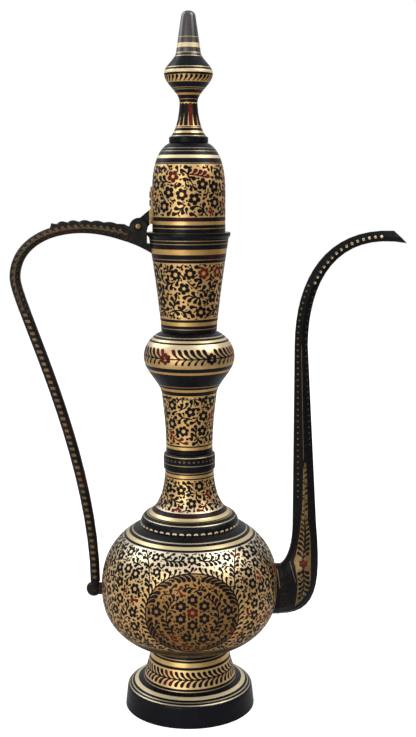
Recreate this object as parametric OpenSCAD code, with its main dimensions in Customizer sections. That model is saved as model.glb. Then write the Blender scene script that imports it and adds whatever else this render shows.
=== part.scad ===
// Surahi: a tall lacquered brass ewer with bolted foot, hinged lid, swan-neck spout and looped handle.
// Sizes are in millimetres. The turned pieces share the Z axis and stand on z = 0. The spout points to +X.

/* [Foot] */
// Radius of the plinth on the table
foot_r = 53.5; // [48:0.5:60]
// Height of the plinth wall
plinth_h = 15.8; // [12:0.1:20]
// How much narrower the plinth is at its top
plinth_draft = 1.8; // [0.5:0.1:5]
// Height over which the plinth edge rounds into the bevel
plinth_round = 3.3; // [2:0.1:6]
// Radius where the bevel above the plinth turns into the cove
bevel_r = 38.6; // [36:0.1:43]
// Height of that turn above the table
bevel_z = 23.6; // [21:0.1:27]
// How far the corner of the cove stands out from the waist
cove_out = 5; // [2:0.1:7]
// Radius of the waist that carries the belly
waist_r = 31; // [28:0.5:33]
// Height of the foot
foot_h = 50.8; // [47:0.1:55]
// Wall of the foot casting
foot_wall = 3; // [2:0.25:4]
// Width of the ring that stands on the table
foot_rim = 6; // [4:0.5:8]
// Thickness of the web under the belly
foot_web = 3; // [2:0.25:5]
// Radius of the bolt through the web
foot_bolt_r = 3; // [2:0.25:4]

/* [Belly] */
// Largest radius of the belly
belly_r = 72.5; // [68:0.5:78]
// Half height of the full form below the equator
belly_low = 53.70; // [50:0.05:60]
// Half height of the full form above the equator
belly_up = 60.40; // [56:0.05:68]
// Fullness of the form, where 2 is an ellipse and more is squarer
belly_full = 2.3; // [2:0.05:2.5]
// Wall of the two spun halves
belly_wall = 2; // [1.5:0.25:3]
// Height of the lap of the lower half inside the upper half, each side of the seam
seam_lap = 5; // [3:0.5:8]

/* [Shoulder and neck] */
// Radius of the shoulder collar
collar_r = 40; // [37:0.5:44]
// Height of the shoulder collar
collar_h = 9.3; // [7:0.1:13]
// How much narrower the collar is at its top
collar_slope = 5; // [4:0.25:6]
// Width of the collar ring, from its bore to its edge
collar_band = 9; // [8:0.5:11]
// Radius of the lower neck where it stands on the collar
flare_r = 34.4; // [32.5:0.1:34.8]
// Height of the corner that the flare of the lower neck is drawn round
flare_h = 7.6; // [5:0.1:10]
// Height of the flared lower neck
lower_neck_h = 37; // [30:0.5:46]
// Radius at the top of the lower neck
lower_neck_r = 19.7; // [18.5:0.1:22]
// Radius of the bore through both necks
neck_bore = 15.5; // [13.5:0.25:16]
// Wall of the turned joint between two neck pieces
tenon_wall = 2; // [1.5:0.25:2.5]
// Length of each turned joint
tenon_h = 5; // [3:0.5:6]
// Radius of the beaded ring on the neck
ring_r = 20.9; // [20:0.1:24]
// Height of the beaded ring
ring_h = 13.5; // [11:0.5:18]
// Radius of the slim part of the upper neck
upper_neck_r = 18.9; // [18:0.1:20]
// How far the middle of the upper neck draws in
neck_draw = 0.5; // [0:0.1:1]
// Radius at the top of the upper neck, which is also the foot of the bulb
bulb_foot_r = 21.9; // [20.5:0.1:24]
// Height of the upper neck
upper_neck_h = 46; // [38:0.5:56]
// Wall of the neck, the bulb and the cup
neck_wall = 2; // [1.5:0.25:2.5]

/* [Bulb and cup] */
// Largest radius of the bulb
bulb_r = 36.4; // [32:0.1:40]
// Height of the bulb
bulb_h = 52.3; // [46:0.1:60]
// Height of the widest place above the foot of the bulb
bulb_mid = 31.6; // [27:0.1:36]
// Radius at the foot of the cup
cup_foot_r = 22.1; // [21.5:0.1:24]
// Radius of the cup under its lip
cup_top_r = 31.5; // [30.5:0.1:33]
// Height of the cup with its lip
cup_h = 78.7; // [68:0.1:92]
// Radius of the lip
lip_r = 32.8; // [32:0.1:35]
// Height of the lip
lip_h = 2.5; // [1.5:0.25:4]
// Height of the slope under the lip
lip_under = 1.6; // [1:0.1:3]
// Width of the flat seat that the lid rests on
lip_seat = 6.3; // [5.5:0.1:7]

/* [Lid and finial] */
// Radius of the lid wall
lid_r = 28.8; // [28:0.1:30]
// Height of the lid from its edge to the crown
lid_h = 69.2; // [60:0.2:80]
// Height of the straight part of the lid wall
lid_wall_h = 30; // [28:0.5:36]
// Wall of the lid
lid_wall = 1.5; // [1:0.25:2]
// Depth below the crown of the corner that the dome is drawn round
dome_drop = 6; // [4:0.25:8]
// Radius of the flat crown of the lid
crown_r = 14.25; // [13:0.25:17]
// Depth of the guide ring below the edge of the lid
guide_depth = 4; // [2:0.25:5]
// Height of the step of the guide ring above the edge of the lid
guide_step = 0.2; // [0:0.1:0.5]
// Height of the guide ring inside the lid
guide_h = 6; // [4:0.5:8]
// Wall of the guide ring
guide_wall = 1.5; // [1:0.25:2]
// Room round the guide ring, which swings out past the seat
guide_gap = 1; // [0.8:0.1:1.5]
// Gap between the closed lid and the lip
lid_gap = 0.3; // [0.2:0.05:0.6]
// Radius of the collar under the finial
finial_collar_r = 15.3; // [14:0.1:17]
// Height of the collar under the finial
finial_collar_h = 4.5; // [3:0.25:7]
// Height of the finial
finial_h = 95; // [80:1:110]
// Radius at the base of the finial
finial_base_r = 14; // [12:0.25:15]
// Radius of the slim stem of the finial
stem_r = 7; // [5.5:0.1:8]
// Height of the middle of the stem above the base
stem_z = 26; // [18:0.5:28]
// Radius of the knop
knop_r = 18.9; // [16:0.1:22]
// Height of the knop above the base
knop_z = 47.8; // [40:0.1:52]
// Radius where the knop turns into the spire
spire_r = 9.4; // [7.5:0.1:10]
// Height of that turn above the knop
spire_z = 17.2; // [14:0.1:22]
// Radius of the rounded tip of the spire
tip_r = 5.7; // [4:0.1:6.5]
// Radius of the screw that holds the finial
finial_screw_r = 2.5; // [2:0.25:3]

/* [Hinge] */
// Distance from the lip to the pin
hinge_out = 6.8; // [6:0.1:9]
// Height of the pin above the lip
hinge_up = 4.2; // [4:0.1:6]
// Radius of the pin
pin_r = 2; // [1.5:0.1:2.5]
// Radius of the ears round the pin
ear_r = 7; // [6.5:0.1:7.5]
// Radius of the knuckle between the ears
knuckle_r = 5.4; // [4.5:0.1:5.8]
// Thickness of the knuckle
knuckle_t = 4; // [3:0.25:6]
// Thickness of each ear
ear_t = 3; // [2:0.25:4]
// How far the end face of the bracket stands out past its ears
butt_out = 0.4; // [0.2:0.1:1]
// Thickness of the strap on the lid
strap_t = 1.2; // [0.8:0.1:1.6]
// Width of the strap
strap_w = 14; // [11:0.5:18]
// Length of the strap
strap_h = 29; // [24:0.5:30]
// Height of the foot of the strap above the edge of the lid
strap_z = 6.3; // [6:0.1:7]
// Radius of the rivets
rivet_r = 1.5; // [1:0.1:2]
// Radius of the rivet heads
rivet_head_r = 2.5; // [2:0.1:3]
// Height of the rivet heads
rivet_head_t = 0.7; // [0.4:0.1:1]
// Depth of the bracket below the lip
bracket_drop = 17.5; // [15:0.5:20]
// Height of the foot of the bracket on the cup
bracket_foot_h = 8; // [6:0.5:9]

/* [Handle] */
// Distance from the axis to the middle of the bar at its widest bow
handle_reach = 138; // [120:1:150]
// Drop from the bracket to the widest bow
bow_drop = 34.7; // [30:0.5:45]
// Thickness of the bar, seen from the side
bar_t = 8; // [7:0.25:9]
// Width of the bar, seen from behind
bar_w = 9; // [7:0.25:10]
// Thickness of the bar where it meets the bracket
butt_t = 12.6; // [11.5:0.1:13]
// Height of the scallops on top of the arch
crest_h = 3.2; // [1.5:0.1:4]
// Number of scallops
crest_n = 6; // [4:1:8]
// Radius of the ball at the foot of the handle
ball_r = 6.3; // [5.5:0.1:7]
// Gap between the belly and the middle of the ball
ball_out = 6.7; // [6.2:0.1:8]
// Length of the pad between the ball and the belly
pad_h = 2.6; // [2:0.1:3]
// Radius of the pad
pad_r = 5; // [4:0.1:5.5]
// Radius of the screw through the pad
handle_screw_r = 2; // [1.5:0.1:2.5]
// How far below the equator the handle and the spout meet the belly
limb_drop = 3; // [1:0.5:5]

/* [Spout] */
// Height of the root on the belly
root_h = 42; // [36:0.5:46]
// Width of the root
root_w = 30; // [27:0.5:36]
// How far the flange stands out from the belly
flange_out = 1.5; // [1:0.25:4]
// Width of the flange rim round the root
flange_rim = 0.3; // [0.1:0.1:1]
// Radius of the hole through the flange and the belly
spout_bore = 12; // [9:0.25:12.5]
// Distance from the flange to the back of the riser
spout_stand = 10.5; // [8:0.1:14]
// Height from the middle of the root to the foot of the riser
elbow_h = 56; // [48:0.5:62]
// How far the elbow bulges out
elbow_bulge = 5.4; // [0:0.2:7]
// Height of the straight riser
riser_h = 147.4; // [120:0.2:180]
// Width of the riser at its foot, seen from the side
riser_foot_w = 19.1; // [16:0.1:24]
// Width of the riser at its head, seen from the side
riser_head_w = 10.4; // [9:0.2:13]
// Depth of the riser at its foot, seen from the front
riser_foot_d = 16.5; // [14:0.5:22]
// Depth of the riser at its head, seen from the front
riser_head_d = 9; // [8:0.5:12]
// Height of the crook from the riser to the top of the beak
crook_h = 90.7; // [76:0.1:105]
// Reach of the crook from the back of the riser to the top of the beak
crook_reach = 77.3; // [64:0.1:90]
// How far the lower lip of the beak reaches past its top
beak_cut = 10.4; // [5:0.1:13]
// Height of the cut face of the beak
beak_h = 9.8; // [8:0.1:12]
// Depth of the beak, seen from the front
beak_d = 7; // [6:0.25:9]
// Wall of the spout
spout_wall = 1.5; // [1:0.1:1.8]

/* [Fasteners] */
// How far a screw head stands out past its shank
head_over = 2; // [1:0.25:2.5]
// Height of a screw head
head_t = 2; // [1:0.25:3]
// Thickness of the washers
washer_t = 1; // [0.5:0.25:1.5]
// Height of the nut
nut_t = 4; // [3:0.25:5]
// Length of thread past the nut
thread_end = 3; // [1:0.25:4]
// Room in front of a screw in its blind hole
thread_room = 0.5; // [0.2:0.1:1]

/* [Fits] */
// Gap in brazed and turned joints
fit = 0.1; // [0.05:0.01:0.15]
// Gap round the pin in the knuckle
pin_gap = 0.15; // [0.1:0.01:0.25]
// Gap between the knuckle and each ear
side_gap = 0.3; // [0.25:0.05:0.5]

/* [Hidden] */
$fn = 96;

// Colours of the black lacquer, the engraved brass and the plain brass
black = "#201c20";
gold = "#b9913f";
brass = "#c9a552";

// Point at the share t of the way from a to b
function mix(a, b, t) = a + (b - a) * t;
// Curve from a to b that heads for the corner c at both ends
function bend(a, c, b, n = 8) =
    [for (i = [0:n]) let (t = i / n) mix(mix(a, c, t), mix(c, b, t), t)];
// Curve from a to b with one handle at each end
function cubic(a, p, q, b, t) =
    mix(mix(mix(a, p, t), mix(p, q, t), t), mix(mix(p, q, t), mix(q, b, t), t), t);
// S-shaped profile from a to b, upright at both ends
function ogee(a, b, n = 10) =
    [for (i = [0:n]) let (t = i / n) [mix(a[0], b[0], (1 - cos(180 * t)) / 2), mix(a[1], b[1], t)]];
// Curves joined end to end, each shared point kept once
function chain(parts) =
    [for (i = [0:len(parts) - 1]) for (j = [(i == 0 ? 0 : 1):1:len(parts[i]) - 1]) parts[i][j]];
function reverse(p) = [for (i = [len(p) - 1:-1:0]) p[i]];

// A turned piece from half of its section
module turned(p) {
    rotate_extrude() polygon(p);
}

// A rod along X from x0 to x1 at height z
module rod_x(r, x0, x1, z) {
    translate([min(x0, x1), 0, z]) rotate([0, 90, 0]) cylinder(r = r, h = abs(x1 - x0));
}

// An outline drawn in X and Z, given a thickness across Y
module plate_y(t) {
    rotate([90, 0, 0]) linear_extrude(height = t, center = true) children();
}

// Belly form: the point at the angle a above or below the equator, and the angle for a radius or a height
function belly_point(a, rr, hh) = [rr * pow(cos(a), 2 / belly_full), hh * pow(sin(a), 2 / belly_full)];
function angle_at_r(r, rr) = acos(pow(r / rr, belly_full / 2));
function angle_at_h(h, hh) = asin(pow(h / hh, belly_full / 2));
// Arc of the belly form from the angle a to b, above the equator for up = 1 and below it for up = -1
function belly_arc(a, b, rr, hh, up, n = 18) =
    [for (i = [0:n]) let (p = belly_point(mix(a, b, i / n), rr, hh)) [p[0], belly_z + up * p[1]]];

// Heights of the stack, from the foot to the tip
waist_a = angle_at_r(waist_r, belly_r);
belly_z = foot_h + belly_point(waist_a, belly_r, belly_low)[1];
mouth_a = angle_at_r(collar_r, belly_r);
shoulder_z = belly_z + belly_point(mouth_a, belly_r, belly_up)[1];
neck_z = shoulder_z + collar_h;
ring_z = neck_z + lower_neck_h;
upper_z = ring_z + ring_h;
bulb_z = upper_z + upper_neck_h;
cup_z = bulb_z + bulb_h;
lip_z = cup_z + cup_h;
lid_z = lip_z + lid_gap;
crown_z = lid_z + lid_h;
finial_z = crown_z + finial_collar_h;
limb_z = belly_z - limb_drop;

// Inner belly form and the lap ring at the seam
in_r = belly_r - belly_wall;
in_low = belly_low - belly_wall;
in_up = belly_up - belly_wall;
floor_a = angle_at_h(belly_z - foot_h - belly_wall, in_low);
lap_a = angle_at_h(seam_lap, in_low);
lap_r = belly_point(angle_at_h(seam_lap, in_up), in_r, in_up)[0] - fit;
lap_in = lap_r - belly_wall;
mouth_in_a = angle_at_h(shoulder_z - belly_z, in_up);
mouth_r = belly_point(mouth_in_a, in_r, in_up)[0];

// Bores and turned joints of the neck
collar_bore = collar_r - collar_band;
tenon_r = neck_bore + tenon_wall;
bulb_socket_r = bulb_foot_r - neck_wall;
bulb_bore = bulb_socket_r - fit - tenon_wall;
cup_tenon_r = cup_foot_r - neck_wall - tenon_wall;
cup_bore = cup_tenon_r - tenon_wall;
seat_r = lip_r - lip_seat;

// Hinge places
hinge_x = -(lip_r + hinge_out);
hinge_z = lip_z + hinge_up;
butt_x = hinge_x - ear_r - butt_out;
butt_z = hinge_z + butt_out - butt_t / 2;
bracket_w = knuckle_t + 2 * side_gap + 2 * ear_t;
strap_in = lid_r + fit;
strap_out = strap_in + strap_t;
rivet_z = [lid_z + strap_z + strap_h * 0.56, lid_z + strap_z + strap_h * 0.78];

// Limb places
ball_x = -(belly_r + ball_out);
pad_x = -(belly_r + pad_h);
screw_tip = ball_x - ball_r / 2;
face_x = belly_r + flange_out;

plinth_top_r = foot_r - plinth_draft;
foot_side = chain([
    [[foot_r, 0], [plinth_top_r, plinth_h]],
    bend([plinth_top_r, plinth_h],
         [plinth_top_r - plinth_draft * plinth_round / plinth_h, plinth_h + plinth_round],
         [bevel_r, bevel_z]),
    bend([bevel_r, bevel_z], [waist_r + cove_out, mix(bevel_z, foot_h, 0.27)], [waist_r, foot_h], 12)]);
foot_hollow = chain([
    [[foot_r - foot_rim, 0], [plinth_top_r - foot_rim, plinth_h - foot_wall]],
    bend([plinth_top_r - foot_rim, plinth_h - foot_wall], [bevel_r - 2 * foot_wall, bevel_z - foot_wall],
         [waist_r - foot_wall, foot_h - foot_web])]);

module foot() {
    hole = foot_bolt_r + fit;
    color(black)
        turned(concat(foot_side, [[hole, foot_h], [hole, foot_h - foot_web]], reverse(foot_hollow)));
}

module foot_bolt() {
    top = foot_h + belly_wall;
    end = foot_h - foot_web - washer_t - nut_t - thread_end;
    color(brass) {
        translate([0, 0, end]) cylinder(r = foot_bolt_r, h = top - end + head_t / 2);
        translate([0, 0, top]) cylinder(r = foot_bolt_r + head_over, h = head_t);
    }
}

module foot_washer() {
    color(brass) translate([0, 0, foot_h - foot_web - washer_t]) difference() {
        cylinder(r = 2 * foot_bolt_r + head_over, h = washer_t);
        translate([0, 0, -1]) cylinder(r = foot_bolt_r + fit, h = washer_t + 2);
    }
}

module foot_nut() {
    color(brass) translate([0, 0, foot_h - foot_web - washer_t - nut_t]) difference() {
        cylinder(r = 2 * foot_bolt_r, h = nut_t, $fn = 6);
        translate([0, 0, -1]) cylinder(r = foot_bolt_r + fit, h = nut_t + 2);
    }
}

// Holes that the spout and the handle screw need in both halves of the belly
module limb_holes() {
    rod_x(spout_bore, 0, 2 * belly_r, limb_z);
    rod_x(handle_screw_r + fit, 0, -2 * belly_r, limb_z);
}

module belly_lower() {
    hole = foot_bolt_r + fit;
    color(gold) difference() {
        turned(concat(
            [[hole, foot_h]],
            belly_arc(waist_a, 0, belly_r, belly_low, -1),
            [[lap_r, belly_z], [lap_r, belly_z + seam_lap]],
            [[lap_in, belly_z + seam_lap], [lap_in, belly_z - seam_lap]],
            belly_arc(lap_a, floor_a, in_r, in_low, -1),
            [[hole, foot_h + belly_wall]]));
        limb_holes();
    }
}

module belly_upper() {
    color(gold) difference() {
        turned(concat(belly_arc(0, mouth_a, belly_r, belly_up, 1), belly_arc(mouth_in_a, 0, in_r, in_up, 1)));
        limb_holes();
    }
}

// The belly as a full form, to cut the saddles that sit on it
module belly_form() {
    turned(concat([[0, foot_h]], belly_arc(waist_a, 0, belly_r + fit, belly_low + fit, -1),
                  belly_arc(0, mouth_a, belly_r + fit, belly_up + fit, 1), [[0, shoulder_z]]));
}

module shoulder_collar() {
    color(black) turned(concat(
        [[collar_bore, shoulder_z - tenon_h], [mouth_r - fit, shoulder_z - tenon_h]],
        [[mouth_r - fit, shoulder_z]],
        bend([collar_r, shoulder_z], [collar_r * 1.01, mix(shoulder_z, neck_z, 0.7)],
             [collar_r - collar_slope, neck_z]),
        [[collar_bore, neck_z]]));
}

module lower_neck() {
    tenon = collar_bore - fit;
    corner_r = lower_neck_r + neck_wall / 2;
    corner_z = neck_z + flare_h;
    mid_z = ring_z + ring_h / 2;
    color(gold) turned(concat(
        [[tenon - tenon_wall, neck_z - tenon_h], [tenon, neck_z - tenon_h], [tenon, neck_z]],
        bend([flare_r, neck_z], [corner_r, corner_z], [lower_neck_r, ring_z], 14),
        [[tenon_r, ring_z], [tenon_r, mid_z], [neck_bore, mid_z]],
        bend([neck_bore, ring_z], [corner_r - neck_wall, corner_z - neck_wall / 2],
             [tenon - tenon_wall, neck_z], 14)));
}

module neck_ring() {
    bore = tenon_r + fit;
    edge = 1.5;
    color(black) turned(concat(
        [[bore, ring_z]],
        bend([ring_r - edge, ring_z], [ring_r, ring_z], [ring_r, ring_z + edge], 5),
        bend([ring_r, upper_z - 2 * edge], [ring_r, upper_z - edge / 2], [ring_r - edge, upper_z], 5),
        [[bore, upper_z]]));
}

module upper_neck() {
    mid_z = ring_z + ring_h / 2;
    corner_z = mix(upper_z, bulb_z, 0.4);
    color(gold) turned(concat(
        [[neck_bore, mid_z], [tenon_r, mid_z], [tenon_r, upper_z]],
        bend([upper_neck_r, upper_z], [upper_neck_r - neck_draw, corner_z], [bulb_foot_r, bulb_z], 10),
        [[bulb_socket_r, bulb_z], [bulb_socket_r, bulb_z - tenon_h]],
        bend([bulb_bore, bulb_z - tenon_h], [neck_bore, corner_z], [neck_bore, upper_z], 8)));
}

module neck_bulb() {
    tenon = bulb_socket_r - fit;
    socket = cup_tenon_r + fit;
    mid_z = bulb_z + bulb_mid;
    corner_z = mix(mid_z, cup_z, 0.68);
    wide = bulb_r - neck_wall;
    color(gold) turned(concat(
        [[bulb_bore, bulb_z - tenon_h], [tenon, bulb_z - tenon_h], [tenon, bulb_z]],
        chain([ogee([bulb_foot_r, bulb_z], [bulb_r, mid_z], 12),
               bend([bulb_r, mid_z], [bulb_r, corner_z], [cup_foot_r + 2 * fit, cup_z], 12)]),
        [[socket, cup_z], [socket, cup_z - neck_wall]],
        chain([bend([cup_foot_r - neck_wall / 2, cup_z - neck_wall], [wide, corner_z - neck_wall / 2],
                    [wide, mid_z], 12),
               reverse(ogee([bulb_bore, bulb_z + neck_wall], [wide, mid_z], 12))])));
}

cup_corner = [mix(cup_foot_r, cup_top_r, 0.2), mix(cup_z, lip_z, 0.33)];
cup_rim_z = lip_z - lip_h - lip_under;
cup_side = bend([cup_foot_r, cup_z], cup_corner, [cup_top_r, cup_rim_z], 10);

module cup() {
    color(gold) turned(concat(
        [[cup_bore, cup_z - tenon_h], [cup_tenon_r, cup_z - tenon_h], [cup_tenon_r, cup_z]],
        cup_side,
        [[lip_r, lip_z - lip_h], [lip_r, lip_z], [seat_r, lip_z], [seat_r, lip_z - lip_h]],
        bend([cup_top_r - neck_wall, cup_rim_z], cup_corner - [neck_wall, 0], [cup_bore, cup_z], 10)));
}

// The cup as a full form with a fit, to cut the bracket that is brazed to it
module cup_form() {
    turned(concat([[0, cup_z]], [for (p = cup_side) p + [fit, 0]],
                  [[lip_r + fit, lip_z - lip_h], [lip_r + fit, lip_z + fit], [0, lip_z + fit]]));
}

lid_in = lid_r - lid_wall;
roof_z = crown_z - 2 * lid_wall;
lid_side = chain([
    [[lid_r, lid_z], [lid_r, lid_z + lid_wall_h]],
    bend([lid_r, lid_z + lid_wall_h], [lid_r, crown_z - dome_drop], [crown_r, crown_z], 12)]);

module lid_dome() {
    hole = finial_screw_r + fit;
    color(gold) difference() {
        turned(concat(lid_side, [[hole, crown_z], [hole, roof_z]],
            reverse(chain([
                [[lid_in, lid_z], [lid_in, lid_z + lid_wall_h]],
                bend([lid_in, lid_z + lid_wall_h], [lid_in, crown_z - dome_drop - lid_wall],
                     [crown_r, roof_z], 12)]))));
        for (z = rivet_z) rod_x(rivet_r + fit, 0, -2 * lid_r, z);
    }
}

module lid_guide() {
    guide_r = seat_r - guide_gap;
    guide_in = guide_r - guide_wall;
    step_z = lid_z + guide_step;
    color(brass) turned([
        [guide_in, lid_z - guide_depth], [guide_r, lid_z - guide_depth], [guide_r, step_z],
        [lid_in - fit, step_z], [lid_in - fit, lid_z + guide_h], [guide_in, lid_z + guide_h]]);
}

module hinge_bracket() {
    low = [butt_x, butt_z - butt_t / 2];
    root_x = -(cup_top_r - 2 * neck_wall);
    root_z = lip_z - bracket_drop;
    slot_r = knuckle_r + 2 * side_gap;
    slot_w = knuckle_t + 2 * side_gap;
    color(black) difference() {
        plate_y(bracket_w) {
            polygon(concat(
                bend(low, [hinge_x + ear_r * 0.3, low[1] - ear_r * 0.45], [root_x, root_z]),
                [[root_x, root_z + bracket_foot_h], [-(lip_r + butt_out), lip_z - bracket_drop / 2],
                 [hinge_x + ear_r * 0.9, hinge_z], [butt_x, butt_z + butt_t / 2]]));
            translate([hinge_x, hinge_z]) circle(r = ear_r);
            translate([hinge_x, lip_z - lip_h]) square([hinge_out + neck_wall / 2, lip_h * 0.8]);
        }
        cup_form();
        for (corner = [[slot_r, slot_r], [2 * slot_r, knuckle_r * 0.4]])
            translate([hinge_x - corner[0], -slot_w / 2, hinge_z - corner[1]])
                cube([4 * slot_r, slot_w, 4 * slot_r]);
        translate([hinge_x, 0, hinge_z]) rotate([90, 0, 0])
            cylinder(r = pin_r + fit, h = 2 * bracket_w, center = true);
    }
}

module hinge_pin() {
    dome = 1.2;
    color(brass) translate([hinge_x, 0, hinge_z]) rotate([90, 0, 0]) {
        cylinder(r = pin_r, h = bracket_w + dome, center = true);
        for (side = [0, 1]) mirror([0, 0, side]) translate([0, 0, bracket_w / 2])
            turned(concat([[0, 0]], bend([pin_r + dome, 0], [pin_r + dome, dome], [0, dome], 6)));
    }
}

// Leaf outline of the strap, drawn upward from its foot
module leaf() {
    half = strap_w / 2;
    right = chain([
        bend([half * 0.55, 0], [half * 1.05, strap_h * 0.1], [half, strap_h * 0.4]),
        bend([half, strap_h * 0.4], [half * 0.95, strap_h * 0.8], [0, strap_h])]);
    polygon(concat(right, reverse([for (i = [0:len(right) - 2]) [-right[i][0], right[i][1]]])));
}

module hinge_strap() {
    reach = -strap_in - strap_t / 2;
    foot = lid_z + strap_z;
    color(brass) difference() {
        union() {
            intersection() {
                difference() {
                    translate([0, 0, foot - 1]) cylinder(r = strap_out, h = strap_h + 2);
                    translate([0, 0, foot - 2]) cylinder(r = strap_in, h = strap_h + 4);
                }
                translate([0, 0, foot]) rotate([90, 0, -90]) linear_extrude(height = 2 * lid_r) leaf();
            }
            plate_y(knuckle_t) {
                translate([hinge_x, hinge_z]) circle(r = knuckle_r);
                polygon([[hinge_x - knuckle_r * 0.2, hinge_z + knuckle_r * 0.98],
                         [reach, foot + strap_h * 0.42], [reach, foot + strap_t * 0.7],
                         [hinge_x + knuckle_r * 0.7, hinge_z - knuckle_r * 0.7]]);
            }
        }
        translate([hinge_x, 0, hinge_z]) rotate([90, 0, 0])
            cylinder(r = pin_r + pin_gap, h = 2 * bracket_w, center = true);
        for (z = rivet_z) rod_x(rivet_r + fit, 0, -2 * lid_r, z);
    }
}

module strap_rivets() {
    seat = sqrt(lid_in * lid_in - rivet_head_r * rivet_head_r) - fit;
    color(brass) for (z = rivet_z) {
        rod_x(rivet_r, -strap_out - rivet_head_t / 2, -seat + rivet_head_t / 2, z);
        rod_x(rivet_head_r, -strap_out - rivet_head_t, -strap_out, z);
        rod_x(rivet_head_r, -seat, -seat + rivet_head_t, z);
    }
}

module finial_collar() {
    edge = 0.8;
    hole = finial_screw_r + fit;
    color(black) turned([
        [hole, crown_z], [finial_collar_r, crown_z], [finial_collar_r, finial_z - edge],
        [finial_collar_r - edge, finial_z], [hole, finial_z]]);
}

finial_bore_h = stem_z * 0.7;
knop_top = knop_z + spire_z;

module finial() {
    hole = finial_screw_r + fit;
    neck_top = finial_h - tip_r * 0.9;
    side = chain([
        bend([finial_base_r, 0], [stem_r * 1.09, stem_z * 0.3], [stem_r, stem_z]),
        ogee([stem_r, stem_z], [knop_r, knop_z], 12),
        ogee([knop_r, knop_z], [spire_r, knop_top], 12),
        [[spire_r, knop_top], [tip_r, neck_top]],
        bend([tip_r, neck_top], [tip_r * 0.95, finial_h], [0, finial_h], 6)]);
    color(black) translate([0, 0, finial_z])
        turned(concat([[hole, 0]], side, [[0, finial_bore_h], [hole, finial_bore_h]]));
}

module finial_screw() {
    seat = roof_z - washer_t;
    end = finial_z + finial_bore_h - thread_room;
    color(brass) {
        translate([0, 0, seat - head_t / 2]) cylinder(r = finial_screw_r, h = end - seat + head_t / 2);
        translate([0, 0, seat - head_t]) cylinder(r = finial_screw_r + head_over, h = head_t);
    }
}

module finial_washer() {
    color(brass) translate([0, 0, roof_z - washer_t]) difference() {
        cylinder(r = 2 * finial_screw_r + head_over, h = washer_t);
        translate([0, 0, -1]) cylinder(r = finial_screw_r + fit, h = washer_t + 2);
    }
}

// Upright oval of the spout root, grown by the rim
module root_outline(grow) {
    polygon([for (q = eased(spout_section, 1)) [(root_h / 2 + grow) * q[0], (root_w / 2 + grow) * q[1]]]);
}

module spout_flange() {
    color(black) difference() {
        translate([face_x, 0, limb_z]) rotate([0, -90, 0])
            linear_extrude(height = flange_out + belly_r / 3) root_outline(flange_rim);
        belly_form();
        rod_x(spout_bore, 0, 2 * belly_r, limb_z);
    }
}

// Faces of a strip of rings with m points each, turned outward for out = true
function ring_faces(first, rings, m, out) =
    [for (i = [0:rings - 2]) for (j = [0:m - 1])
        let (a = first + i * m + j, b = first + i * m + (j + 1) % m, quad = [a, b, b + m, a + m])
        for (tri = [[quad[0], quad[1], quad[2]], [quad[0], quad[2], quad[3]]])
            out ? tri : [tri[2], tri[1], tri[0]]];
// Faces between two rings of m points in one end plane
function rim_faces(outer, inner, m, out) =
    [for (j = [0:m - 1])
        let (k = (j + 1) % m, quad = [outer + j, inner + j, inner + k, outer + k])
        for (tri = [[quad[0], quad[1], quad[2]], [quad[0], quad[2], quad[3]]])
            out ? tri : [tri[2], tri[1], tri[0]]];

// A closed outline with n extra points on each edge
function subdivide(p, n) =
    [for (i = [0:len(p) - 1]) for (k = [0:n - 1]) mix(p[i], p[(i + 1) % len(p)], k / n)];
// A section between its flat-sided form and a round one, where round = 1 is an ellipse
function eased(p, round) = [for (q = p) mix(q, q / norm(q), round)];

// Back and front edges of the spout as [x, z], seen from the side, with stages elbow, riser and crook
riser_x = face_x + spout_stand;
riser_z = limb_z + elbow_h;
head_z = riser_z + riser_h;
beak = [riser_x + crook_reach, head_z + crook_h];
lip_tip = beak + [beak_cut, -beak_h];
function spout_back(stage, t) =
    let (root = [face_x, limb_z + root_h / 2], low = [riser_x, riser_z], high = [riser_x, head_z])
    stage == 0 ? cubic(root, root + spout_stand * [0.5, 0.2], low - [0, (low[1] - root[1]) * 0.58], low, t) :
    stage == 1 ? mix(low, high, t) :
    cubic(high, high + [0, crook_h * 0.58], beak + [-crook_reach * 0.7, crook_h * 0.03], beak, t);
function spout_front(stage, t) =
    let (root = [face_x, limb_z - root_h / 2], low = [riser_x + riser_foot_w, riser_z],
         high = [riser_x + riser_head_w, head_z], rise = riser_z - root[1])
    stage == 0 ?
        cubic(root, root + [(low[0] - root[0]) * 1.05, 0], low + [elbow_bulge, -rise * 0.7], low, t) :
    stage == 1 ? mix(low, high, t) :
    cubic(high, high + [0, crook_h * 0.57], lip_tip + [-crook_reach * 0.72, beak_h], lip_tip, t);
function spout_depth(stage, t) =
    stage == 0 ? mix(root_w, riser_foot_d, sin(90 * t)) :
    stage == 1 ? mix(riser_foot_d, riser_head_d, t) : mix(riser_head_d, beak_d, t);

// Six-sided section with a ridge along the middle of each side
spout_section = subdivide([[1, -0.3], [1, 0.3], [0, 1], [-1, 0.3], [-1, -0.3], [0, -1]], 4);
// Stage and share of the way for each ring of the spout
spout_steps = concat([for (i = [0:12]) [0, i / 12]], [for (i = [1:6]) [1, i / 6]],
                     [for (i = [1:16]) [2, i / 16]]);
function spout_ring(stage, t, wall) =
    let (back = spout_back(stage, t), front = spout_front(stage, t), mid = (back + front) / 2,
         half = (back - front) / 2, arm = half * (1 - wall / norm(half)),
         depth = spout_depth(stage, t) / 2 - wall)
    [for (q = eased(spout_section, stage == 0 ? 1 - t : 0))
        [mid[0] + arm[0] * q[0], depth * q[1], mid[1] + arm[1] * q[0]]];

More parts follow.
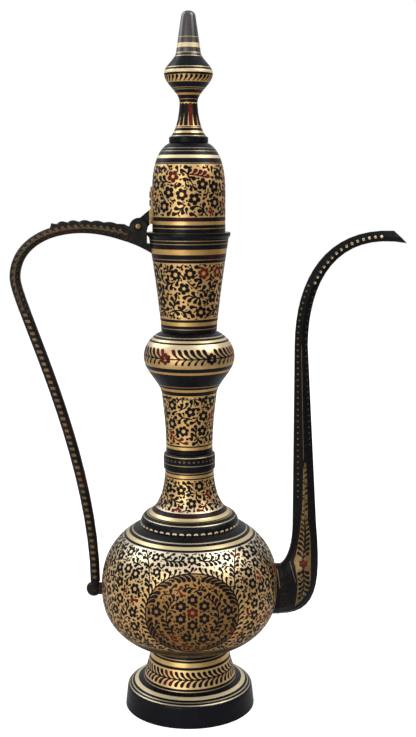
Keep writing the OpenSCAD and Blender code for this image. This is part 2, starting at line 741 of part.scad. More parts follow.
module spout() {
    m = len(spout_section);
    n = len(spout_steps);
    outer = [for (s = spout_steps) each spout_ring(s[0], s[1], 0)];
    inner = [for (s = spout_steps) each spout_ring(s[0], s[1], spout_wall)];
    color(black) polyhedron(concat(outer, inner), concat(
        ring_faces(0, n, m, true), ring_faces(n * m, n, m, false),
        rim_faces(0, n * m, m, true), rim_faces((n - 1) * m, (2 * n - 1) * m, m, false)));
}

// Middle line of the handle as [x, z]: the arch from the bracket to the bow, then the drop to the ball
bow = [-handle_reach, butt_z - bow_drop];
ball = [ball_x, limb_z];
drop_end = ball + [ball_r * 0.2, ball_r * 0.8];
function handle_line(stage, t) =
    let (start = [butt_x, butt_z], run = handle_reach + butt_x, fall = bow[1] - drop_end[1])
    stage == 0 ? cubic(start, start + [-run * 0.6, bow_drop * 0.42], bow + [0, bow_drop * 0.88], bow, t) :
    cubic(bow, bow - [0, fall * 0.08], drop_end + [0, fall * 0.445], drop_end, t);
// Unit direction to the outer side of the bar
function handle_out(stage, t) =
    let (d = handle_line(stage, min(t + 0.01, 1)) - handle_line(stage, max(t - 0.01, 0)))
    stage == 0 && t == 0 ? [0, 1] : [d[1], -d[0]] / norm(d);
// Height of the scalloped crest on the arch
crest_from = 0.03;
crest_to = 0.44;
function crest(stage, t) =
    stage > 0 || t < crest_from || t > crest_to ? 0 :
    let (along = (crest_to - t) / (crest_to - crest_from))
    crest_h * (1 - 0.7 * along) * (0.3 + 0.7 * abs(cos(180 * crest_n * along)));
// Half thickness of the bar, which swells toward the bracket
function bar_half(stage, t) =
    stage > 0 ? bar_t / 2 : mix(bar_t, butt_t, pow(max(0, 1 - t / 0.3), 2)) / 2;

// Bar section: outer face, broad side facet, ridge and narrow inner facet
bar_section = subdivide([[1, 0.55], [1, -0.55], [0.6, -0.95], [-0.3, -1], [-1, -0.5], [-1, 0.5], [-0.3, 1],
                         [0.6, 0.95]], 2);
bar_steps = concat([for (i = [0:60]) [0, i / 60]], [for (i = [1:18]) [1, i / 18]]);
function bar_ring(stage, t) =
    let (mid = handle_line(stage, t), out = handle_out(stage, t), half = bar_half(stage, t),
         top = crest(stage, t))
    [for (q = eased(bar_section, stage > 0 ? pow(t, 8) : 0))
        let (reach = half * q[0] + (q[0] > 0.5 ? top : 0))
        [mid[0] + out[0] * reach, bar_w / 2 * q[1], mid[1] + out[1] * reach]];
// Rings of the ball, from its neck to its pole
ball_steps = [for (a = [50:15:170]) a];
function ball_ring(a) =
    [for (q = eased(bar_section, 1))
        [ball[0] - ball_r * sin(a) * q[0], ball_r * sin(a) * q[1], ball[1] + ball_r * cos(a)]];

module handle() {
    m = len(bar_section);
    n = len(bar_steps) + len(ball_steps);
    points = concat([for (s = bar_steps) each bar_ring(s[0], s[1])],
                    [for (a = ball_steps) each ball_ring(a)]);
    color(black) difference() {
        polyhedron(points, concat(
            [[for (j = [m - 1:-1:0]) j]], ring_faces(0, n, m, true),
            [[for (j = [0:m - 1]) (n - 1) * m + j]]));
        translate([pad_x, -ball_r, limb_z - 2 * ball_r]) cube([ball_r, 2 * ball_r, 3 * ball_r]);
        rod_x(handle_screw_r + fit, screw_tip, 0, limb_z);
    }
}

module handle_pad() {
    color(black) difference() {
        rod_x(pad_r, pad_x, -belly_r * 0.9, limb_z);
        belly_form();
        rod_x(handle_screw_r + fit, 2 * pad_x, 0, limb_z);
    }
}

module handle_screw() {
    head_r = handle_screw_r + head_over;
    seat = fit - sqrt(lap_in * lap_in - head_r * head_r);
    color(brass) {
        rod_x(handle_screw_r, screw_tip + thread_room, seat + head_t / 2, limb_z);
        rod_x(head_r, seat, seat + head_t, limb_z);
    }
}

foot();
foot_bolt();
foot_washer();
foot_nut();
belly_lower();
belly_upper();
shoulder_collar();
lower_neck();
neck_ring();
upper_neck();
neck_bulb();
cup();
spout_flange();
spout();
handle();
handle_pad();
handle_screw();
hinge_bracket();
hinge_pin();
lid_dome();
lid_guide();
hinge_strap();
strap_rivets();
finial_collar();
finial();
finial_screw();
finial_washer();
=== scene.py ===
"""Looks of a lacquered brass surahi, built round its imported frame: finishes, engraving, stage and camera."""

import logging
import math
import random
from dataclasses import dataclass, field
from enum import Enum
from typing import Callable, Iterable, Optional, Sequence

import bpy
import numpy as np
from bpy.types import Material, Node, NodeSocket, NodeTree, Object
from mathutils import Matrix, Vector
from mathutils.bvhtree import BVHTree


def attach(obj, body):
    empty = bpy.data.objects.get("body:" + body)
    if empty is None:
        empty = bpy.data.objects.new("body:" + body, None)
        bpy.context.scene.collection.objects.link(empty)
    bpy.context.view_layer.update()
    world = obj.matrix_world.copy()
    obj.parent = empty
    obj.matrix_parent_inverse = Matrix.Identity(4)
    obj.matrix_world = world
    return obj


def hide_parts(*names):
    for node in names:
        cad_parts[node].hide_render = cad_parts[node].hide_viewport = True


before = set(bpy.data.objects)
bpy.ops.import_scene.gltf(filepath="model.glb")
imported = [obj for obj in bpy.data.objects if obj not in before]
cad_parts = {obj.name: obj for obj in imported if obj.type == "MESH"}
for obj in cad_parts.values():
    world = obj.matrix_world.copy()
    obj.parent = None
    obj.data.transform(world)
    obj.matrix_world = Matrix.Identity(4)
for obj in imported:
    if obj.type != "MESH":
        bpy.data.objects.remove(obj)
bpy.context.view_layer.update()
LOG = logging.getLogger("surahi")

MM = 0.001
Colour = tuple[float, float, float]
Point2 = tuple[float, float]
Point3 = tuple[float, float, float]
Face = tuple[int, ...]

# The photograph's frame in pixels, and the camera that fits it
PHOTO_SIZE = (416, 737)
FOCAL_PIXELS = 1185
CAMERA_MM = (15.1, -940.0, 431.0)
CAMERA_PITCH = math.radians(9)

# Depth of bare metal below the lacquer, height of an inlay above that metal, and level of its hidden root
METAL_SUNK = 0.10
INLAY_PROUD = 0.08
INLAY_ROOT = -0.20

# Level between the root (0) and the top (1) of a motif
HALF_LEVEL = 0.5

FRONT = -math.pi / 2
BACK = math.pi / 2

# Inner pieces and fasteners, which stay bare
PLAIN_NODES = ("lid_guide", "foot_bolt", "foot_washer", "foot_nut", "handle_screw", "finial_screw",
               "finial_washer")


class Coat(Enum):
    """What covers a stretch of a turned piece."""

    LACQUER = "black lacquer"
    MAROON = "maroon lacquer"
    GOLD = "polished band"
    GROUND = "engraved ground"
    CREAM = "bright engraved ground"
    # Lacquer of the upper finial, lighter grey and more metallic than the black: painted sheen
    SHEEN = "thin grey lacquer"
    WORN = "worn pale band"
    LINE = "thin dull line"
    # Plain gold painted dark as shade, on the belly's underside
    UMBER = "tarnished band"
    INSIDE = "bare inside"

    @property
    def is_metal(self) -> bool:
        """True for the coats that show bare metal."""
        return self in (Coat.GOLD, Coat.GROUND, Coat.CREAM)


class Ink(Enum):
    """Lacquer colour of an inlaid motif, numbered as its material slot."""

    BLACK = 0
    RED = 1


class Desk:
    """Short calls that fill a node tree."""

    def __init__(self, tree: NodeTree) -> None:
        """Takes the tree to fill."""
        self.tree = tree

    def add(self, kind: str, values: Optional[dict] = None, **settings: object) -> Node:
        """Adds a node.

        Args:
            kind: Blender's name of the node type.
            values: input name or number to a constant or to the socket that feeds it.
            settings: properties of the node itself.

        Returns:
            The new node.
        """
        node = self.tree.nodes.new(kind)
        for key, value in settings.items():
            setattr(node, key, value)
        for key, value in (values or {}).items():
            self.feed(node.inputs[key], value)
        return node

    def feed(self, socket: NodeSocket, value: object) -> None:
        """Sets a socket to a constant, or links another socket to it."""
        if isinstance(value, NodeSocket):
            self.tree.links.new(value, socket)
        else:
            socket.default_value = value

    def ranged(self, value: object, low: float, high: float, start: float = 0.0, end: float = 1.0) -> object:
        """Returns value eased from low..high to start..end."""
        limits = {"From Min": low, "From Max": high, "To Min": start, "To Max": end}
        node = self.add("ShaderNodeMapRange", {"Value": value, **limits}, interpolation_type="SMOOTHSTEP")
        return node.outputs["Result"]

    def mixed(self, share: object, low: object, high: object) -> object:
        """Returns the colour between two colours."""
        node = self.add("ShaderNodeMix", {0: share, 6: low, 7: high}, data_type="RGBA")
        return node.outputs[2]

    def combined(self, first: object, second: object, kind: str) -> object:
        """Returns what a kind of math, such as MULTIPLY, makes of two values."""
        return self.add("ShaderNodeMath", {0: first, 1: second}, operation=kind).outputs[0]

    def effect(self, group: NodeTree, **values: float) -> Node:
        """Places the node group of an effect, with values for its named inputs."""
        return self.add("ShaderNodeGroup", values, node_tree=group)


class Effects:
    """Surface effects that several finishes share, each a shader node group."""

    def __init__(self) -> None:
        """Builds every group once."""
        self.clouds = self._clouds()
        self.turning = self._turning()
        self.punching = self._punching()

    @staticmethod
    def _new(name: str, inputs: dict[str, float], outputs: Sequence[str]) -> tuple[Desk, object, object]:
        """Returns the desk, the input node and the output node of a new group of plain values."""
        group = bpy.data.node_groups.new(name, "ShaderNodeTree")
        for key, value in inputs.items():
            socket = group.interface.new_socket(key, in_out="INPUT", socket_type="NodeSocketFloat")
            socket.default_value = value
        for key in outputs:
            group.interface.new_socket(key, in_out="OUTPUT", socket_type="NodeSocketFloat")
        desk = Desk(group)
        return desk, desk.add("NodeGroupInput"), desk.add("NodeGroupOutput")

    def _clouds(self) -> NodeTree:
        """Soft patches, for tarnish, tints and uneven gloss."""
        desk, given, out = self._new("soft_patches", {"Scale": 60.0, "Low": 0.4, "High": 0.65}, ["Mask"])
        place = desk.add("ShaderNodeTexCoord").outputs["Object"]
        noise = desk.add("ShaderNodeTexNoise", {"Vector": place, "Scale": given.outputs["Scale"],
                                                "Detail": 5.0, "Roughness": 0.6})
        eased = desk.add("ShaderNodeMapRange", {"Value": noise.outputs[0], "From Min": given.outputs["Low"],
                                                "From Max": given.outputs["High"]})
        desk.feed(out.inputs["Mask"], eased.outputs["Result"])
        return desk.tree

    def _turning(self) -> NodeTree:
        """Fine lines round the Z axis, as a turning tool leaves them."""
        desk, given, out = self._new("turning_lines", {"Scale": 1500.0}, ["Height"])
        place = desk.add("ShaderNodeTexCoord").outputs["Object"]
        flat = desk.add("ShaderNodeMapping", {"Vector": place, "Scale": (0.03, 0.03, 1.0)})
        noise = desk.add("ShaderNodeTexNoise", {"Vector": flat.outputs[0], "Scale": given.outputs["Scale"],
                                                "Detail": 3.0})
        desk.feed(out.inputs["Height"], noise.outputs[0])
        return desk.tree

    def _punching(self) -> NodeTree:
        """Small dents close together, as a punch leaves them on a matted ground."""
        desk, given, out = self._new("punched_ground", {"Scale": 1400.0}, ["Height", "Mask"])
        place = desk.add("ShaderNodeTexCoord").outputs["Object"]
        cells = desk.add("ShaderNodeTexVoronoi", {"Vector": place, "Scale": given.outputs["Scale"]})
        desk.feed(out.inputs["Height"], desk.ranged(cells.outputs["Distance"], 0.05, 0.5))
        desk.feed(out.inputs["Mask"], desk.ranged(cells.outputs["Distance"], 0.2, 0.6))
        return desk.tree


EFFECTS = Effects()


def new_material(name: str) -> tuple[Material, Desk, Node]:
    """Starts a material.

    Args:
        name: its name.

    Returns:
        The material, a desk on its tree, and its shader.
    """
    material = bpy.data.materials.new(name)
    material.use_nodes = True
    shader = material.node_tree.nodes["Principled BSDF"]
    return material, Desk(material.node_tree), shader


@dataclass(frozen=True)
class Brass:
    """Bare brass, from a polished band to a matted ground."""

    # Shares of soft patches and of painted light on upward faces in the light tone, and the tilt over which
    # faces go from painted shade to painted light
    PATCH_SHARE = 0.4
    PAINTED_LIGHT_SHARE = 0.6
    PAINTED_LIGHT_TILT = (-0.5, 0.75)
    # Tilt over which faces take the painted highlight, greatest share of that painted highlight, and shade of
    # the deepest dent
    HIGHLIGHT_TILT = (0.2, 0.85)
    HIGHLIGHT_SHARE = 0.8
    DENT_SHADE = 0.55

    name: str
    dark: Colour
    light: Colour
    rough: tuple[float, float]
    cloud_scale: float = 70.0
    punch_scale: float = 0.0
    punch_depth: float = 0.03
    line_depth: float = 0.02
    metallic: float = 1.0
    # Colour of the painted highlight on faces that look up, or none for no painted highlight
    pale: Optional[Colour] = None

    def build(self) -> Material:
        """Returns the material."""
        material, desk, shader = new_material(self.name)
        clouds = desk.effect(EFFECTS.clouds, Scale=self.cloud_scale, Low=0.32, High=0.68)
        normal = desk.add("ShaderNodeTexCoord").outputs["Normal"]
        upward = desk.add("ShaderNodeSeparateXYZ", {0: normal}).outputs[2]
        patches = desk.combined(clouds.outputs["Mask"], self.PATCH_SHARE, "MULTIPLY")
        # Faces that look up are painted toward the light tone and faces that look down toward the dark one:
        # painted light and shade over the random patches
        share = desk.combined(patches, desk.ranged(upward, *self.PAINTED_LIGHT_TILT, 0.0, self.PAINTED_LIGHT_SHARE), "ADD")
        if self.punch_scale:
            punching = desk.effect(EFFECTS.punching, Scale=self.punch_scale)
            height, distance = punching.outputs["Height"], self.punch_depth
            shade = desk.ranged(punching.outputs["Mask"], 0.0, 1.0, self.DENT_SHADE, 1.0)
            share = desk.combined(share, shade, "MULTIPLY")
        else:
            height, distance = desk.effect(EFFECTS.turning).outputs["Height"], self.line_depth
        colour = desk.mixed(share, (*self.dark, 1), (*self.light, 1))
        if self.pale:
            # Painted highlight: faces that look up turn toward the pale colour
            painted_highlight_share = desk.ranged(upward, *self.HIGHLIGHT_TILT, 0.0, self.HIGHLIGHT_SHARE)
            colour = desk.mixed(painted_highlight_share, colour, (*self.pale, 1))
        desk.feed(shader.inputs["Base Color"], colour)
        desk.feed(shader.inputs["Roughness"], desk.ranged(share, 0.0, 1.0, self.rough[1], self.rough[0]))
        shader.inputs["Metallic"].default_value = self.metallic
        bump = desk.add("ShaderNodeBump", {"Height": height, "Strength": 0.6, "Distance": distance * MM})
        desk.feed(shader.inputs["Normal"], bump.outputs[0])
        return material


@dataclass(frozen=True)
class Lacquer:
    """Baked lacquer over brass, with a warmer tint where it is thin."""

    # Width of the tint's soft edge, how much finer smudges and grain are, and how sharp a worn edge is
    TINT_WIDTH = 0.22
    SMUDGE_FINER = 7
    GRAIN_FINER = 30
    WORN_EDGE = (0.52, 0.6)
    COAT_ROUGH = 0.15

    name: str
    deep: Colour
    tint: Colour
    tint_from: float
    rough: tuple[float, float]
    coat: float = 0.06
    gloss: float = 0.16
    cloud_scale: float = 45.0
    grain_depth: float = 0.02
    worn: Optional[Colour] = None
    cast_light: Colour = (1.0, 1.0, 1.0)

    def build(self) -> Material:
        """Returns the material."""
        material, desk, shader = new_material(self.name)
        clouds = desk.effect(EFFECTS.clouds, Scale=self.cloud_scale, Low=self.tint_from,
                             High=self.tint_from + self.TINT_WIDTH)
        tinted = desk.mixed(clouds.outputs["Mask"], (*self.deep, 1), (*self.tint, 1))
        smudge = desk.effect(EFFECTS.clouds, Scale=self.SMUDGE_FINER * self.cloud_scale)
        if self.worn:
            edges = desk.ranged(desk.add("ShaderNodeNewGeometry").outputs["Pointiness"], *self.WORN_EDGE)
            rubbed = desk.combined(edges, smudge.outputs["Mask"], "MULTIPLY")
            tinted = desk.mixed(rubbed, tinted, (*self.worn, 1))
        desk.feed(shader.inputs["Base Color"], tinted)
        desk.feed(shader.inputs["Roughness"], desk.ranged(smudge.outputs["Mask"], 0.0, 1.0, *self.rough))
        shader.inputs["Specular IOR Level"].default_value = self.gloss
        shader.inputs["Specular Tint"].default_value = (*self.cast_light, 1)
        shader.inputs["Coat Weight"].default_value = self.coat
        shader.inputs["Coat Roughness"].default_value = self.COAT_ROUGH
        grain = desk.effect(EFFECTS.clouds, Scale=self.GRAIN_FINER * self.cloud_scale, Low=0.25, High=0.75)
        bump = desk.add("ShaderNodeBump", {"Height": grain.outputs["Mask"], "Strength": 0.5,
                                           "Distance": self.grain_depth * MM})
        desk.feed(shader.inputs["Normal"], bump.outputs[0])
        return material


@dataclass(frozen=True)
class RubbedBrass:
    """Lacquered brass, rubbed bare inside a round spot that is seen along Y."""

    # Half width of the spot's soft edge, then scale, shade, roughness and gloss of the metal's patches
    EDGE = 0.35
    PATCH_SCALE = 260.0
    PATCH_SHADE = 0.6
    ROUGH = (0.48, 0.32)
    GLOSS = 0.12

    name: str
    metal: Colour
    lacquer: Colour
    centre: Point2
    reach: float

    def build(self) -> Material:
        """Returns the material."""
        material, desk, shader = new_material(self.name)
        place = desk.add("ShaderNodeTexCoord").outputs["Object"]
        middle = (self.centre[0] * MM, 0.0, self.centre[1] * MM)
        offset = desk.add("ShaderNodeVectorMath", {0: place, 1: middle}, operation="SUBTRACT").outputs[0]
        flat = desk.add("ShaderNodeVectorMath", {0: offset, 1: (1, 0, 1)}, operation="MULTIPLY").outputs[0]
        away = desk.add("ShaderNodeVectorMath", {0: flat}, operation="LENGTH").outputs["Value"]
        bare = desk.ranged(away, (self.reach - self.EDGE) * MM, (self.reach + self.EDGE) * MM, 1.0, 0.0)
        patches = desk.effect(EFFECTS.clouds, Scale=self.PATCH_SCALE).outputs["Mask"]
        shaded = (*(self.PATCH_SHADE * c for c in self.metal), 1)
        metal = desk.mixed(patches, shaded, (*self.metal, 1))
        desk.feed(shader.inputs["Base Color"], desk.mixed(bare, (*self.lacquer, 1), metal))
        desk.feed(shader.inputs["Metallic"], bare)
        desk.feed(shader.inputs["Roughness"], desk.ranged(patches, 0.0, 1.0, *self.ROUGH))
        shader.inputs["Specular IOR Level"].default_value = self.GLOSS
        return material


class Finishes:
    """Every finish on the ewer, built once."""

    def __init__(self) -> None:
        """Builds the materials."""
        coats = {
            Coat.LACQUER: Lacquer("black_lacquer", (0.005, 0.005, 0.0065), (0.012, 0.007, 0.008), 0.54,
                                  (0.24, 0.4), coat=0.03, gloss=0.11, cast_light=(0.76, 0.84, 1.0)),
            Coat.MAROON: Lacquer("maroon_lacquer", (0.007, 0.005, 0.007), (0.045, 0.008, 0.01), 0.48,
                                 (0.24, 0.4), coat=0.03, gloss=0.1),
            # A lighter, more metallic copy of the black lacquer: painted sheen on the spire
            Coat.SHEEN: Brass("sheen_grey_lacquer", (0.055, 0.055, 0.062), (0.14, 0.125, 0.115), (0.17, 0.3),
                              metallic=0.85),
            Coat.GOLD: Brass("polished_band", (0.54, 0.29, 0.075), (0.88, 0.6, 0.25), (0.3, 0.44),
                             metallic=0.84, pale=(0.74, 0.61, 0.34)),
            Coat.WORN: Brass("worn_band", (0.62, 0.44, 0.2), (0.86, 0.72, 0.46), (0.4, 0.55),
                             metallic=0.45),
            Coat.LINE: Brass("thin_line", (0.3, 0.19, 0.07), (0.6, 0.44, 0.22), (0.35, 0.5),
                             metallic=0.84, pale=(0.5, 0.44, 0.3)),
            # Plain gold painted dark as shade, for the band on the belly's underside
            Coat.UMBER: Brass("shaded_gold_band", (0.05, 0.037, 0.017), (0.13, 0.1, 0.045), (0.4, 0.55)),
            Coat.GROUND: Brass("engraved_ground", (0.6, 0.335, 0.105), (0.95, 0.665, 0.31), (0.32, 0.48),
                               punch_scale=1500.0, metallic=0.84, pale=(0.76, 0.69, 0.54)),
            Coat.CREAM: Brass("bright_ground", (0.44, 0.25, 0.075), (0.86, 0.64, 0.35), (0.32, 0.46),
                              punch_scale=1500.0, metallic=0.84, pale=(0.7, 0.6, 0.43)),
            Coat.INSIDE: Brass("bare_inside", (0.3, 0.2, 0.09), (0.5, 0.37, 0.17), (0.38, 0.6))}
        self.coats = {coat: finish.build() for coat, finish in coats.items()}
        inks = {
            Ink.BLACK: Lacquer("black_inlay", (0.0045, 0.004, 0.005), (0.012, 0.006, 0.006), 0.56,
                               (0.3, 0.45), coat=0.0, gloss=0.1, grain_depth=0.01),
            Ink.RED: Lacquer("red_inlay", (0.075, 0.008, 0.006), (0.14, 0.02, 0.012), 0.42, (0.3, 0.45),
                             coat=0.0, gloss=0.08, cloud_scale=120.0, grain_depth=0.01)}
        self.inks = {ink: finish.build() for ink, finish in inks.items()}
        # Matted ground: real punching and roughness, its darker brown colour painted shade
        self.matted = Brass("matted_shaded_ground", (0.27, 0.14, 0.043), (0.47, 0.265, 0.095), (0.5, 0.66),
                            punch_scale=1300.0, punch_depth=0.05).build()
        self.cast = Lacquer("dark_cast", (0.008, 0.0065, 0.006), (0.038, 0.01, 0.009), 0.53, (0.3, 0.5),
                            coat=0.0, gloss=0.1, grain_depth=0.06, worn=(0.05, 0.03, 0.017)).build()
        self.bracket = Lacquer("dark_bracket", (0.009, 0.008, 0.0075), (0.03, 0.02, 0.014), 0.47, (0.3, 0.5),
                               coat=0.0, gloss=0.1, cloud_scale=170.0, grain_depth=0.06).build()
        self.spout = Lacquer("spout_lacquer", (0.006, 0.0055, 0.006), (0.022, 0.007, 0.007), 0.56,
                             (0.24, 0.4), coat=0.0, gloss=0.1, grain_depth=0.03,
                             worn=(0.03, 0.016, 0.012)).build()
        self.aged = Brass("aged_gold", (0.07, 0.046, 0.022), (0.27, 0.19, 0.095), (0.35, 0.55),
                          cloud_scale=150.0).build()
        self.panel = Brass("rubbed_gold", (0.13, 0.08, 0.03), (0.37, 0.24, 0.1), (0.4, 0.6),
                           cloud_scale=260.0, metallic=0.7).build()
        self.scroll = Brass("browned_gold", (0.045, 0.028, 0.012), (0.14, 0.09, 0.038), (0.4, 0.6),
                            cloud_scale=220.0, metallic=0.7).build()
        self.leaf = Brass("punched_gold", (0.72, 0.54, 0.26), (1.0, 0.85, 0.55), (0.28, 0.42),
                          cloud_scale=200.0, metallic=0.4).build()
        self.plain = Brass("plain_brass", (0.42, 0.27, 0.1), (0.66, 0.47, 0.21), (0.25, 0.42)).build()
        # The strap's spot is so wide that its edge runs straight up and down across the strap
        self.strap = RubbedBrass("strap_brass", (0.5, 0.36, 0.17), (0.009, 0.008, 0.0075),
                                 centre=(968.8, 420.0), reach=1000.0).build()
        self.pin = RubbedBrass("pin_brass", (0.3, 0.19, 0.065), (0.008, 0.007, 0.007),
                               centre=(-39.6, 395.8), reach=1.9).build()


FINISH = Finishes()


def deselect_all() -> None:
    """Leaves edit mode and clears the selection, so that an operator acts on new pieces alone."""
    if bpy.context.object and bpy.context.object.mode != "OBJECT":
        bpy.ops.object.mode_set(mode="OBJECT")
    bpy.ops.object.select_all(action="DESELECT")


def pick(piece: Object) -> None:
    """Makes one object the only selected and active one."""
    deselect_all()
    piece.select_set(True)
    bpy.context.view_layer.objects.active = piece


def settle(piece: Object, body: str, replaced: Iterable[str] = ()) -> None:
    """Fixes a finished piece to a body.

    Args:
        piece: the finished object, in place.
        body: the CAD body that carries it.
        replaced: CAD nodes that the piece stands for.
    """
    if replaced:
        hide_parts(*replaced)
    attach(piece, body)
    LOG.info("%s rides on %s, %d faces", piece.name, body, len(piece.data.polygons))


def dress(finishes: dict[str, Material]) -> None:
    """Gives CAD nodes, by name, their finish."""
    for name, finish in finishes.items():
        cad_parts[name].material_slots[0].material = finish


def mesh_piece(name: str, points: np.ndarray, faces: Sequence[Face], materials: Sequence[Material],
               slots: Optional[Sequence[int]] = None) -> Object:
    """Makes an object from points and faces.

    Args:
        name: the object's name.
        points: corners in millimetres.
        faces: corner numbers of each face.
        materials: materials for its slots.
        slots: slot number of each face.

    Returns:
        The linked object.
    """
    mesh = bpy.data.meshes.new(name)
    mesh.from_pydata((np.asarray(points) * MM).tolist(), [], faces)
    for material in materials:
        mesh.materials.append(material)
    if slots is not None:
        mesh.polygons.foreach_set("material_index", np.asarray(slots, dtype=np.int32))
    mesh.update()
    piece = bpy.data.objects.new(name, mesh)
    bpy.context.scene.collection.objects.link(piece)
    return piece


def quads(rows: int, columns: int, closed: bool = False) -> list[Face]:
    """Joins the corners of a grid, numbered row by row.

    Args:
        rows: number of rows.
        columns: corners in a row.
        closed: whether the end of each row joins its start.

    Returns:
        Corner numbers of each face.
    """
    faces = []
    for low in range(0, (rows - 1) * columns, columns):
        for k in range(columns if closed else columns - 1):
            ahead = (k + 1) % columns
            faces.append((low + k, low + ahead, low + columns + ahead, low + columns + k))
    return faces


def summed(steps: np.ndarray) -> np.ndarray:
    """Returns the running sum of steps, from 0."""
    return np.concatenate([[0.0], np.cumsum(steps)])


def run_of(way: np.ndarray) -> np.ndarray:
    """Returns the distance along a way at each of its flat points."""
    return summed(np.hypot(*np.diff(way, axis=0).T))


@dataclass(frozen=True)
class Stripe:
    """A stretch of one coat, in millimetres above the foot of its piece."""

    low: float
    high: float
    coat: Coat


def line(height: float, width: float = 0.6) -> Stripe:
    """Returns a thin dull line centred on a height."""
    return Stripe(height - width / 2, height + width / 2, Coat.LINE)


class Section:
    """Half section of a turned CAD node, as points [radius, height] in millimetres."""

    # Half angle of the sector that is read, and how many of the last points are compared with a new one
    SIDE_SECTOR = math.radians(40)
    LOOK_BACK = 9
    # Distances at which points are the same, on one level or on a straight line
    SAME = 0.02
    LEVEL = 0.05
    STRAIGHT = 0.004
    # Least turn of a sharp corner, and the spacing of points on a round stretch
    CORNER = math.radians(24)
    STEP = 1.0

    def __init__(self, node: str) -> None:
        """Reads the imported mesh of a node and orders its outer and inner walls."""
        loop = self._straightened(self._loop(node))
        self.base = loop[:, 1].min()
        self.outer, self.inner = self._split(loop)
        self.outer = self._smooth(self.outer)

    def _loop(self, node: str) -> np.ndarray:
        """Returns the section's corners in order, from the side of the piece that no hole cuts."""
        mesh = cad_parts[node].data
        place = np.empty(3 * len(mesh.vertices), np.float32)
        mesh.vertices.foreach_get("co", place)
        place = place.reshape(-1, 3) / MM
        corners = np.empty(3 * len(mesh.polygons), np.int32)
        mesh.polygons.foreach_get("vertices", corners)
        radius = np.hypot(place[:, 0], place[:, 1])
        turn = np.abs(np.arctan2(place[:, 1], place[:, 0]))
        beside = (np.abs(turn - math.pi / 2) < self.SIDE_SECTOR) | (radius < self.SAME)
        kinds = np.full(len(place), -1)
        found: list[np.ndarray] = []
        for i in np.where(beside)[0][np.lexsort((radius[beside], place[beside, 2]))]:
            point = np.array([radius[i], place[i, 2]])
            latest = range(len(found) - 1, -1, -1)[:self.LOOK_BACK]
            near = [k for k in latest if np.abs(found[k] - point).max() < self.SAME]
            if not near:
                found.append(point)
                near = [len(found) - 1]
            kinds[i] = near[0]
        beside_of: dict[int, set[int]] = {k: set() for k in range(len(found))}
        for three in kinds[corners.reshape(-1, 3)]:
            if three.min() >= 0:
                for a, b in zip(three, np.roll(three, 1)):
                    if a != b:
                        beside_of[a].add(b)
                        beside_of[b].add(a)
        ends = [k for k, near in beside_of.items() if len(near) == 1]
        order = [ends[0] if ends else 0]
        while True:
            ahead = [k for k in sorted(beside_of[order[-1]]) if k not in order]
            if not ahead:
                return np.array([found[k] for k in order])
            order.append(ahead[0])

    def _straightened(self, loop: np.ndarray) -> np.ndarray:
        """Drops the corners that lie on a straight line between their neighbours."""
        before, after = np.roll(loop, 1, 0), np.roll(loop, -1, 0)
        chord = after - before
        offset = chord[:, 0] * (loop - before)[:, 1] - chord[:, 1] * (loop - before)[:, 0]
        keep = np.abs(offset) / np.maximum(np.hypot(*chord.T), self.SAME) > self.STRAIGHT
        return loop[keep | (loop[:, 0] < self.SAME)]

    def _edge(self, loop: np.ndarray, height: float) -> int:
        """Returns the number of the outermost corner at a height."""
        level = np.where(np.abs(loop[:, 1] - height) < self.LEVEL)[0]
        return int(level[np.argmax(loop[level, 0])])

    def _split(self, loop: np.ndarray) -> tuple[np.ndarray, np.ndarray]:
        """Returns the outer wall from bottom to top, and the rest from top to bottom."""
        low, high = (self._edge(loop, height) for height in (loop[:, 1].min(), loop[:, 1].max()))
        around = np.roll(loop, -low, 0)
        stop = (high - low) % len(loop)
        one = around[:stop + 1]
        other = np.vstack([around[:1], around[:stop - 1:-1]])
        if one[:, 0].mean() < other[:, 0].mean():
            one, other = other, one
        return one, other[::-1][1:-1]

    def _smooth(self, wall: np.ndarray) -> np.ndarray:
        """Returns a wall with its round stretches drawn finely through the same points."""
        ways = np.diff(wall, axis=0)
        heading = np.arctan2(ways[:, 1], ways[:, 0])
        turns = np.abs((np.diff(heading) + math.pi) % (2 * math.pi) - math.pi)
        sharp = [True, *(turns > self.CORNER), True]
        fine = [wall[0]]
        for i, (a, b) in enumerate(zip(wall, wall[1:])):
            before = a + (a - b) if sharp[i] else wall[i - 1]
            after = b + (b - a) if sharp[i + 1] else wall[i + 2]
            length = np.hypot(*(b - a))
            reach = [length / max(np.hypot(*(q - p)), 1e-6) for p, q in ((before, b), (a, after))]
            start, end = (b - before) * reach[0], (after - a) * reach[1]
            count = max(1, math.ceil(length / self.STEP))
            for k in range(1, count + 1):
                t = k / count
                fine.append((2 * t**3 - 3 * t**2 + 1) * a + (t**3 - 2 * t**2 + t) * start
                            + (3 * t**2 - 2 * t**3) * b + (t**3 - t**2) * end)
        return np.array(fine)


